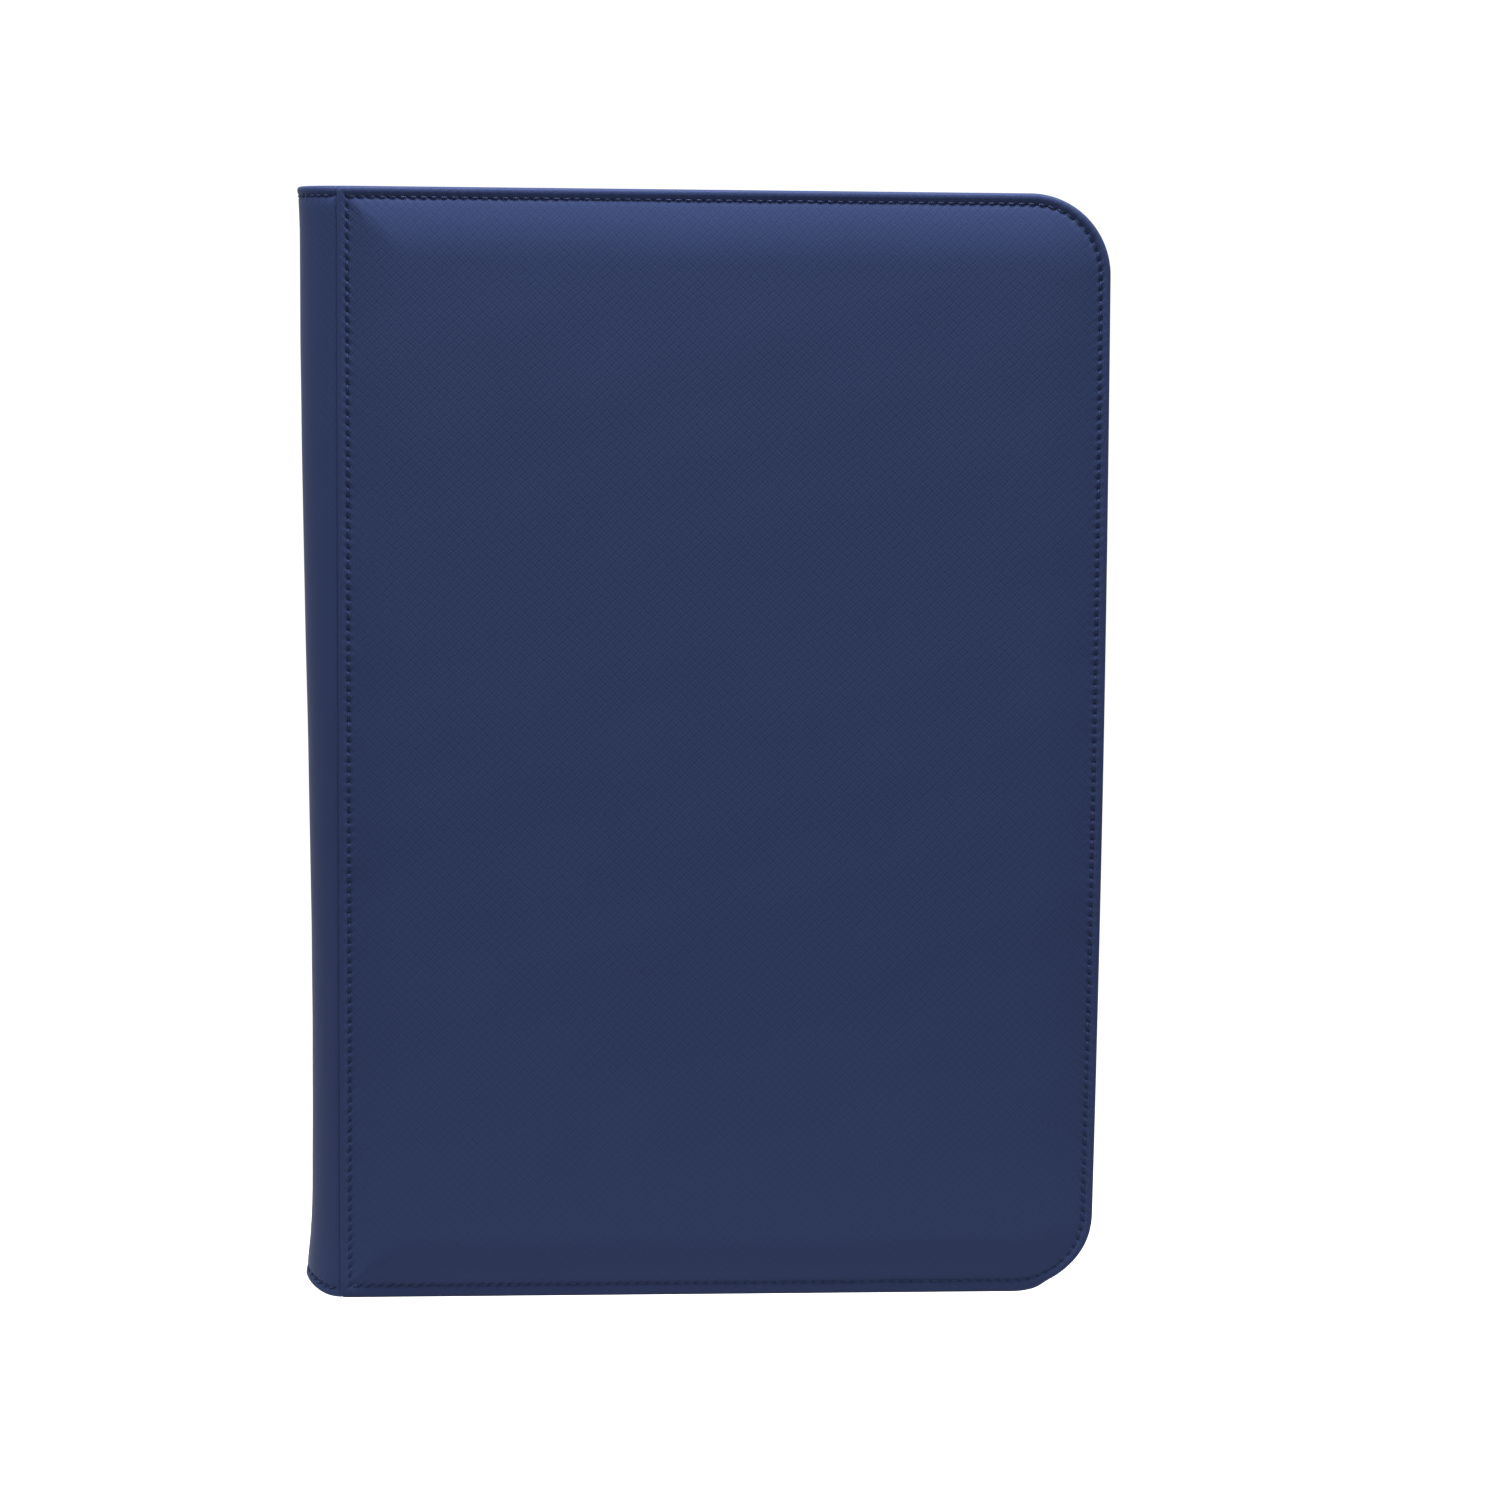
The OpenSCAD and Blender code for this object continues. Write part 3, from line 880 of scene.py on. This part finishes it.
def spine_stitching(side):
    seams = []
    for at_head in (False, True):
        seams.append(spine_hem_row(side, at_head, 0.32 * MM, 1))
        seams.append(spine_hem_row(side, at_head, 2.6 * MM, -1))
    points, faces, uv = join(seams)
    spine_piece(side, "thread", "spine_stitching", points, faces, THREAD, uv)


# ---- binding strip and pages

STRIP_FOOT, STRIP_HEAD = STRIP_LOW[2], STRIP_HIGH[2]
STRIP_WIDTH, STRIP_REACH = 30 * MM, 0.98
BINDING_STITCH = 4 * MM
BINDING_SEAM_ANGLE = math.asin(11.2 / 14.85)


def strip_place(z, depth, angle):
    """A point on the strip inside the spine, where the angle is 0 at the spine's middle."""
    centre, radius = spine_arc(z)
    r = radius - SPINE_DEPTH - depth
    return centre - r * np.cos(angle), r * np.sin(angle)


def binding_strip():
    """The woven strip that holds the page guards, sewn inside the spine."""
    angle = np.linspace(-STRIP_REACH, STRIP_REACH, 41)
    ends = [(1.5, 0.15), (0.4, 0.2), (0.0, 0.45), (0.35, 0.74), (1.6, 0.8)]
    rows = [(STRIP_FOOT + z * MM, d * MM) for z, d in ends]
    rows += [(z, STRIP_DEPTH) for z in np.linspace(STRIP_FOOT + 8 * MM, STRIP_HEAD - 8 * MM, 40)]
    rows += [(STRIP_HEAD - z * MM, d * MM) for z, d in ends[::-1]]
    points, uv = [], []
    for z, depth in rows:
        edge = smooth_step((STRIP_REACH - np.abs(angle)) / 0.09)
        x, y = strip_place(z, depth * edge, angle)
        points.append(np.column_stack([x, y, np.full(len(angle), z)]))
        uv.append(np.column_stack([angle * 15 * MM, np.full(len(angle), z)]))
    piece = make_piece("binding_tape", np.concatenate(points), grid_faces(len(rows), len(angle)),
                       BINDING, np.concatenate(uv))
    belongs(piece, "spine", "binding_strip")


def binding_stitching():
    """Two rows of stitches that hold the strip to the spine, between the guards."""
    holes = np.arange(STRIP_FOOT + 4 * MM, STRIP_HEAD - 3 * MM, BINDING_STITCH)
    gaps = len(holes) - 1
    seams = []
    for side in (FRONT, BACK):
        angle = side * BINDING_SEAM_ANGLE
        x, y = strip_place(holes, STRIP_DEPTH + 0.04 * MM, angle)
        path = np.column_stack([x, y, holes])
        normals = np.tile([math.cos(angle), -math.sin(angle), 0.0], (gaps, 1))
        seams.append(stitch_tubes(path[:-1], path[1:], normals, np.full(gaps, 0.14 * MM)))
    points, faces, uv = join(seams)
    piece = make_piece("binding_thread", points, faces, THREAD, uv)
    belongs(piece, "spine", "binding_stitching")


PAGE_COUNT = 20
PAGE_PITCH = 1.4 * MM
PAGE_RIGHT = PAGE_HIGH[0]
PAGE_FOOT, PAGE_HEAD = PAGE_LOW[2], PAGE_HIGH[2]
SHEET_HALF, GUARD_HALF, CREASE_HALF = 0.12 * MM, 0.2 * MM, 0.10 * MM
POCKET_W, POCKET_H = 67 * MM, 92 * MM
POCKET_GAP_X, POCKET_GAP_Z = 3.5 * MM, 6 * MM
POCKETS_X, POCKETS_Z = -98.7 * MM, PAGE_FOOT + 6 * MM
PAGE_CORNER = 3 * MM
CORNER_LINES = (1.0, 0.55, 0.22, 0.0)
WELD_MARGIN, WELD_HALF, WELD_FADE = 2 * MM, 0.9 * MM, 0.4 * MM
# Columns of the guard, in mm: from the strip, closer together over the crease
GUARD_X = (0, -115.0, -114.0, -113.2, -112.5, -112, -111.5, -110.8, -110, -109, -108)
CREASE_COLUMN = 5


def lines_between(start, size, gap, low, high):
    """Grid lines for three pockets in a row and the welds round them, with the weld mark of each."""
    ends = [(start - WELD_MARGIN, start)]
    ends += [(start + (k + 1) * size + k * gap, start + (k + 1) * (size + gap)) for k in range(2)]
    last = start + 3 * size + 2 * gap
    ends.append((last, last + WELD_MARGIN))
    lines = [(low, 0.0)]
    for a, b in ends:
        for reach, mark in ((-WELD_HALF - WELD_FADE, 0.0), (-WELD_HALF, 1.0),
                            (WELD_HALF, 1.0), (WELD_HALF + WELD_FADE, 0.0)):
            lines.append(((a + b) / 2 + reach, mark))
        lines += [(b + size / 3, 0.0), (b + size * 2 / 3, 0.0)]
    return np.array(lines[:-2] + [(high - PAGE_CORNER * share, 0.0) for share in CORNER_LINES])


def rounded_corners(x, z):
    """Draws the grid in at the page's two free corners."""
    centre_x = PAGE_RIGHT - PAGE_CORNER
    for centre_z, sign in ((PAGE_FOOT + PAGE_CORNER, -1), (PAGE_HEAD - PAGE_CORNER, 1)):
        dx, dz = x - centre_x, (z - centre_z) * sign
        inside = (dx > 0) & (dz > 0)
        scale = np.where(inside, np.maximum(dx, dz) / np.maximum(np.hypot(dx, dz), 1e-9), 1)
        x = np.where(inside, centre_x + dx * scale, x)
        z = np.where(inside, centre_z + sign * dz * scale, z)
    return x, z


def page_middle(k):
    return (k - (PAGE_COUNT + 1) / 2) * PAGE_PITCH


def page_sheet_piece(k):
    """Page k's black sheet with its guard, from the strip in the spine over the crease."""
    y = page_middle(k)
    across = lines_between(POCKETS_X, POCKET_W, POCKET_GAP_X, GUARD_X[-1] * MM + 2 * MM, PAGE_RIGHT)
    up = lines_between(POCKETS_Z, POCKET_H, POCKET_GAP_Z, PAGE_FOOT, PAGE_HEAD)
    foot_corner = [(PAGE_FOOT + PAGE_CORNER * share, 0.0) for share in CORNER_LINES[-2::-1]]
    up = np.concatenate([up[:1], foot_corner, up[1:]])
    guard = [(x * MM, float(column == CREASE_COLUMN)) for column, x in enumerate(GUARD_X)]
    across = np.concatenate([guard, across])
    columns, rows = len(across), len(up)
    x = np.tile(across[:, 0], (rows, 1))
    z = np.tile(up[:, 0][:, None], (1, columns))
    centre, radius = spine_arc(up[:, 0])
    root = centre - np.sqrt((radius - SPINE_DEPTH - STRIP_DEPTH + 0.1 * MM) ** 2 - y ** 2)
    for column, step in enumerate((0.0, 0.2 * MM, 0.4 * MM)):
        x[:, column] = np.maximum(x[:, column], root + step) if column else root
    x, z = rounded_corners(x, z)
    half = np.full(x.shape, SHEET_HALF)
    half[:, :CREASE_COLUMN] = GUARD_HALF
    half[:, CREASE_COLUMN] = CREASE_HALF
    faces = grid_faces(rows, columns)
    count = rows * columns
    faces += [tuple(count + i for i in f) for f in flipped(faces)]
    grid = np.arange(count).reshape(rows, columns)
    rim = np.concatenate([grid[0], grid[1:, -1], grid[-1, -2::-1], grid[-2:0:-1, 0]]).tolist()
    for a, b in zip(rim, rim[1:] + rim[:1]):
        faces.append((b, a, count + a, count + b))
    front, back = [np.stack([x, y + sign * half, z], -1).reshape(-1, 3) for sign in (-1, 1)]
    uv = np.stack([x, z], -1).reshape(-1, 2)
    weld_across = np.tile(across[:, 1], (rows, 1))
    weld = np.maximum(weld_across, up[:, 1][:, None])
    beyond = (x < POCKETS_X - 2.4 * MM) | (x > PAGE_RIGHT - PAGE_CORNER)
    weld = np.where(beyond, weld_across, weld).ravel()
    piece = make_piece(f"page_sheet_{k:02d}", np.concatenate([front, back]), faces, SHEET,
                       np.concatenate([uv, uv]), {"weld": np.concatenate([weld, weld])})
    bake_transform(piece)
    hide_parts(f"page_{k:02d}", *(["page_guards"] if k == 1 else []))


def page_pockets(k):
    """Page k's eighteen clear pockets, each open on the side towards the spine."""
    across = np.array([0.0, 0.012, 0.04, 0.15, 0.35, 0.6, 0.82, 0.95, 0.99, 1.0])
    up = np.array([0.0, 0.008, 0.04, 0.15, 0.35, 0.65, 0.85, 0.96, 0.992, 1.0])
    shape_x = np.interp(across, [0, 0.04, 0.5, 0.95, 1], [0.75, 0.8, 1.0, 0.55, 0.0])
    shape_z = np.interp(up, [0, 0.04, 0.15, 0.85, 0.96, 1], [0.0, 0.5, 1.0, 1.0, 0.5, 0.0])
    puff = np.outer(shape_z, shape_x)
    out_faces = grid_faces(len(up), len(across))
    parts = []
    for sign, row, column in itertools.product((-1, 1), range(3), range(3)):
        x0 = POCKETS_X + column * (POCKET_W + POCKET_GAP_X)
        z0 = POCKETS_Z + row * (POCKET_H + POCKET_GAP_Z)
        x = np.tile(x0 + across * POCKET_W, (len(up), 1))
        z = np.tile((z0 + up * POCKET_H)[:, None], (1, len(across)))
        uneven = 1 + 0.25 * ripple(x + k * 7 * MM, z + sign * MM, 60 * MM, k)
        lift = SHEET_HALF + 0.03 * MM + 0.22 * MM * puff * uneven
        points = np.stack([x, page_middle(k) + sign * lift, z], -1).reshape(-1, 3)
        faces = flipped(out_faces) if sign > 0 else out_faces
        parts.append((points, faces, np.stack([x, z], -1).reshape(-1, 2)))
    points, faces, uv = join(parts)
    piece = make_piece(f"page_pockets_{k:02d}", points, faces, FILM, uv)
    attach(piece, f"page_{k:02d}")


# ---- zip

TAPE_START_X, TEETH_START_X = TAPE_LOW[0], TEETH_LOW[0]
PATH_SAMPLES = 500
COIL_PITCH = 1.5 * MM
COIL_INSET = TEETH_LOW[2] + 1.1 * MM
TURN_POINTS = 10
WIRE_RADIUS, WIRE_SIDES = 0.33 * MM, 6


def zip_path(inset, start_x, step, near_ends=()):
    """Points round foot, fore-edge and head, the outward normals there, and the length so far."""
    points, normals = [], []
    for side in (FOOT, FORE_EDGE, HEAD):
        xz, out = side_points(side, np.linspace(0, 1, PATH_SAMPLES), inset)
        keep = xz[:, 0] >= start_x
        points.append(xz[keep][:-1])
        normals.append(out[keep][:-1])
    points, normals = np.concatenate(points), np.concatenate(normals)
    run = lengths_along(points)
    at = np.linspace(0, run[-1], int(run[-1] / step) + 1)
    at = np.sort(np.concatenate([at, near_ends, run[-1] - np.array(near_ends)]))
    place = np.column_stack([np.interp(at, run, points[:, i]) for i in (0, 1)])
    out = np.column_stack([np.interp(at, run, normals[:, i]) for i in (0, 1)])
    return place, unit(out), at


TAPE_MIDDLE, TAPE_SLACK, TAPE_WIDTH = 0.27, 0.16 * MM, 24 * MM
# The tape's edge as depth inside its wall and distance from the zip's middle, in mm
TAPE_CUT = [(-1.4, 14.55), (-0.2, 14.5), (0.0, 14.1), (-0.02, 12.6), (0.05, 10.0), (0.08, 7.6), (0.04, 5.6),
            (-0.06, 4.9), (-0.10, 4.5), (-0.02, 4.1), (0.02, 3.6), (0.08, 3.2), (0.30, 3.05), (0.50, 3.3),
            (0.52, 4.2), (0.50, 6.5), (0.55, 9.5), (0.55, 12.8), (0.55, 14.3)]


def zip_tape(side):
    """A woven tape from the edge of a cover to the coil, all round the open sides."""
    name = SIDE_NAMES[side]
    place, out, at = zip_path(TAPE_INSET, TAPE_START_X, 2.5 * MM, [0.15 * MM, 0.5 * MM, 1 * MM])
    open_share = smooth_step(np.minimum(at, at[-1] - at) / MM)
    points, uv = [], []
    for run, (depth, y) in zip(lengths_along(TAPE_CUT) * MM, TAPE_CUT):
        slack = math.sin(math.pi * (y - 3) / 11.5) * TAPE_SLACK
        wave = slack * ripple(at, np.zeros(len(at)), 38 * MM, 9 + side)
        xz = place - out * ((TAPE_MIDDLE + (depth - TAPE_MIDDLE) * open_share) * MM + wave)[:, None]
        points.append(np.column_stack([xz[:, 0], np.full(len(at), y * MM), xz[:, 1]]))
        uv.append(np.column_stack([at, np.full(len(at), run)]))
    faces = grid_faces(len(TAPE_CUT), len(at))
    points, faces = on_side(np.concatenate(points), faces, side)
    piece = make_piece(f"zip_tape_{name}", points, faces, ZIP_TAPE, np.concatenate(uv))
    belongs(piece, f"{name}_cover", f"zipper_tape_{name}")


def zip_coil(side):
    """A row of nylon coil: one flattened loop for each tooth, set half a pitch off the other row."""
    name = SIDE_NAMES[side]
    place, out, at = zip_path(COIL_INSET, TEETH_START_X, COIL_PITCH / TURN_POINTS)
    shift = 0 if side == BACK else TURN_POINTS // 2
    theta = (np.arange(len(at)) + shift) * 2 * math.pi / TURN_POINTS
    across = 1.47 + 1.5 * np.cos(theta)
    depth = 0.78 * np.sign(np.sin(theta)) * np.abs(np.sin(theta)) ** 0.6
    xz = place - out * (depth * MM)[:, None]
    centre = np.column_stack([xz[:, 0], across * MM, xz[:, 1]])
    along = unit(np.gradient(centre, axis=0))
    tangent = unit(np.gradient(place, axis=0))
    level = np.column_stack([tangent[:, 0], np.zeros(len(at)), tangent[:, 1]])
    first = unit(level - along * np.sum(level * along, axis=1, keepdims=True))
    second = np.cross(along, first)
    points = centre[:, None] + rings_round(first, second, WIRE_SIDES) * WIRE_RADIUS
    points, faces = on_side(points.reshape(-1, 3), tube_faces(len(at), WIRE_SIDES), side)
    piece = make_piece(f"zip_coil_{name}", points, faces, COIL)
    belongs(piece, f"{name}_cover", f"zipper_teeth_{name}")


def metal_plate(outlines, thickness, bevel):
    """A flat plate with rounded edges from closed outlines in mm; inner outlines are holes."""
    curve = bpy.data.curves.new("plate", "CURVE")
    curve.dimensions = "2D"
    curve.fill_mode = "BOTH"
    curve.extrude = (thickness / 2 - bevel) * MM
    curve.bevel_depth = bevel * MM
    curve.bevel_resolution = 2
    curve.offset = -bevel * MM
    for outline in outlines:
        spline = curve.splines.new("POLY")
        spline.points.add(len(outline) - 1)
        for point, (x, y) in zip(spline.points, outline):
            point.co = (x * MM, y * MM, 0, 1)
        spline.use_cyclic_u = True
    holder = bpy.data.objects.new("plate", curve)
    bpy.context.scene.collection.objects.link(holder)
    mesh = bpy.data.meshes.new_from_object(holder)
    bpy.data.objects.remove(holder)
    tidy = bmesh.new()
    tidy.from_mesh(mesh)
    bmesh.ops.remove_doubles(tidy, verts=tidy.verts, dist=1e-6)
    bmesh.ops.recalc_face_normals(tidy, faces=tidy.faces)
    points = np.array([v.co[:] for v in tidy.verts])
    faces = [tuple(v.index for v in f.verts) for f in tidy.faces]
    tidy.free()
    bpy.data.meshes.remove(mesh)
    return points, faces


def arc(cx, cy, r, start, end, count=14):
    """Points on an arc in mm, with angles in degrees."""
    turn = np.radians(np.linspace(start, end, count))
    return [(cx + r * math.cos(a), cy + r * math.sin(a)) for a in turn]


def arcs(*each):
    """Several arcs, one after another."""
    return [point for one in each for point in arc(*one)]


def metal_piece(name, parts, body, node):
    """One metal object from several (points, faces) sets."""
    points, faces, _ = join([(p, f, np.zeros((len(p), 2))) for p, f in parts])
    piece = make_piece(name, points, faces, METAL)
    piece.data.set_sharp_from_angle(angle=math.radians(40))
    belongs(piece, body, node)


def zip_slider():
    """The slider: two flanged plates joined by a wedge, with a bridge for the pull."""
    low, high = box_of("zipper_slider")
    x = (low[0] + high[0]) / 2
    zip_z = HEIGHT - COIL_INSET
    tail, length = 3.3, 12.0
    nose, end = 3.4 - length / 2, length / 2 - 1.2
    wing = arcs((nose, 1.1, 3.4, 90, 180, 10), (nose, -1.1, 3.4, 180, 270, 10),
                (end, 1.2 - tail, 1.2, 270, 360, 8), (end, tail - 1.2, 1.2, 0, 90, 8))
    parts = []
    for sign in (-1, 1):
        points, faces = metal_plate([wing], 0.85, 0.25)
        points[:, 2] += sign * 1.85 * MM
        parts.append((points, faces))
        for edge in (-1, 1):
            lip = [(-3.2, 4.45), (5.4, 3.3), (5.4, 2.6), (-3.2, 3.7)]
            points, faces = metal_plate([[(px, edge * py) for px, py in lip]], 1.1, 0.2)
            points[:, 2] += sign * 1.3 * MM
            parts.append((points, faces))
    wedge = [(-5.4, 0.0), (-4.4, -0.9), (-2.6, -0.9), (-0.8, 0.0), (-2.6, 0.9), (-4.4, 0.9)]
    points, faces = metal_plate([wedge], 3.4, 0.2)
    parts.append((points, faces))
    bridge_top = (high[2] - zip_z) / MM
    base = 2.2
    turn = bridge_top - 1.5
    outer = arcs((-1.9, turn, 1.5, 180, 90, 8), (1.9, turn, 1.5, 90, 0, 8))
    inner = arcs((1.9, turn, 0.75, 0, 90, 6), (-1.9, turn, 0.75, 90, 180, 6))
    staple = [(-3.4, base)] + outer + [(3.4, base), (2.65, base)] + inner + [(-2.65, base)]
    points, faces = metal_plate([staple], 2.2, 0.2)
    points = points[:, [0, 2, 1]] * np.array([1, -1, 1])
    parts.append((points, faces))
    placed = [(p + np.array([x, 0, zip_z]), f) for p, f in parts]
    metal_piece("zip_slider_body", placed, "zipper_slider", "zipper_slider")


def zip_pull():
    """The pull tab: a tapered plate with a slot over the bridge, a hole and grip bars."""
    low, high = box_of("zipper_pull")
    x, z = low[0] + 0.5 * MM, (low[2] + high[2]) / 2
    length = (high[0] - x) / MM
    body = arcs((0.9, 0, 2.3, 90, 270, 14), (length - 3.1, 0, 3.1, -82, 82, 18))
    slot = arcs((1.0, 0.0, 1.3, 90, 270, 9), (3.2, 0.0, 1.3, -90, 90, 9))
    hole = arc(length - 3.3, 0, 1.4, 0, 345, 20)
    parts = [metal_plate([body, slot, hole], 1.0, 0.3)]
    for k in range(4):
        at = 7.5 + k * 2.6
        reach = 1.7 + 0.03 * at
        bar = arcs((at, reach - 0.4, 0.4, 0, 180, 6), (at, 0.4 - reach, 0.4, 180, 360, 6))
        parts.append(metal_plate([bar], 1.34, 0.15))
    placed = [(p + np.array([x, 0, z]), f) for p, f in parts]
    metal_piece("zip_pull_tab", placed, "zipper_pull", "zipper_pull")


def zip_stops(side):
    """Two crimped metal stops on each row, next to the spine."""
    name = SIDE_NAMES[side]
    left = (TEETH_START_X - 1.6 * MM) / MM
    parts = []
    for inset in (COIL_INSET, HEIGHT - COIL_INSET):
        for k in (0, 1):
            crimp = arcs((0.55, 0.7, 0.55, 180, 90, 5), (2.55, 0.7, 0.55, 90, 0, 5),
                         (2.55, -0.7, 0.55, 0, -90, 5), (0.55, -0.7, 0.55, -90, -180, 5))
            points, faces = metal_plate([crimp], 0.78, 0.22)
            points = points[:, [2, 0, 1]]
            points += np.array([left + 0.4 + 0.8 * k, 0.35, 0]) * MM
            points[:, 2] += inset
            parts.append(on_side(points, faces, side))
    metal_piece(f"zip_stop_pair_{name}", parts, f"{name}_cover", f"zipper_stops_{name}")


# ---- stage, light and camera

def stage():
    """A pale floor that turns up into a backdrop behind the binder, and runs far out in front."""
    depth, rise, radius, steps = 2.6, 3.0, 0.9, 16
    profile = [(y, 0.0) for y in (-40.0, -10.0, -2.6, 0.0, depth - radius)]
    for a in np.arange(1, steps + 1) / steps * math.pi / 2:
        profile.append((depth - radius + radius * math.sin(a), radius - radius * math.cos(a)))
    profile.append((depth, rise))
    across = np.concatenate([[-40, -20], np.linspace(-10, 10, 21), [20, 40]])
    points = [(x, y, z) for y, z in profile for x in across]
    floor = make_piece("floor", points, grid_faces(len(profile), len(across)), stage_paint())


def area_light(name, place, target, size, power):
    data = bpy.data.lights.new(name, "AREA")
    data.shape = "RECTANGLE"
    data.size, data.size_y = size
    data.energy = power
    light = bpy.data.objects.new(name, data)
    bpy.context.scene.collection.objects.link(light)
    light.location = place
    light.visible_camera = False
    light.rotation_euler = (Vector(target) - Vector(place)).to_track_quat("-Z", "Y").to_euler()


def lights():
    area_light("head_light", (0.0, -0.165, 1.2), (0, -0.08, 0.2), (1.2, 0.2), 55)
    area_light("left_fill", (-1.5, -1.3, 0.9), (0, 0, 0.18), (0.9, 0.9), 0.45)
    area_light("backdrop_light", (0.2, 0.8, 2.3), (0.2, 2.5, 0.7), (3.2, 0.8), 20)
    world = bpy.data.worlds.new("studio")
    world.use_nodes = True
    world.node_tree.nodes["Background"].inputs["Color"].default_value = (1, 1, 1, 1)
    world.node_tree.nodes["Background"].inputs["Strength"].default_value = 0.07
    bpy.context.scene.world = world
    bpy.context.scene.view_settings.view_transform = "Standard"


def camera():
    """Level with the binder's head, a little to its left, looking slightly down at it."""
    data = bpy.data.cameras.new("camera")
    data.sensor_width = 36
    data.lens = 91.75
    data.clip_start = 0.05
    eye = bpy.data.objects.new("camera", data)
    eye.location = (-0.0708, -1.2170, 0.3160)
    turn_left, look_down, roll = math.radians(-4.081), math.radians(6.618), math.radians(0.52)
    aim = (Matrix.Rotation(turn_left, 3, "Z") @ Matrix.Rotation(math.pi / 2 - look_down, 3, "X")
           @ Matrix.Rotation(roll, 3, "Z"))
    eye.rotation_euler = aim.to_euler()
    bpy.context.scene.collection.objects.link(eye)
    bpy.context.scene.camera = eye


# ---- build

stage()
lights()
camera()
for side in (FRONT, BACK):
    cover_skin(side)
    cover_stitching(side)
    cover_lining(side)
    cover_foam(side)
    spine_skin(side)
    spine_board(side)
    spine_lining(side)
    spine_stitching(side)
    zip_tape(side)
    zip_coil(side)
    zip_stops(side)
binding_strip()
binding_stitching()
for k in range(1, PAGE_COUNT + 1):
    page_sheet_piece(k)
    page_pockets(k)
zip_slider()
zip_pull()

for side in (FRONT, BACK):
    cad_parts[f"{SIDE_NAMES[side]}_cover_board"].data.materials[0] = BOARD
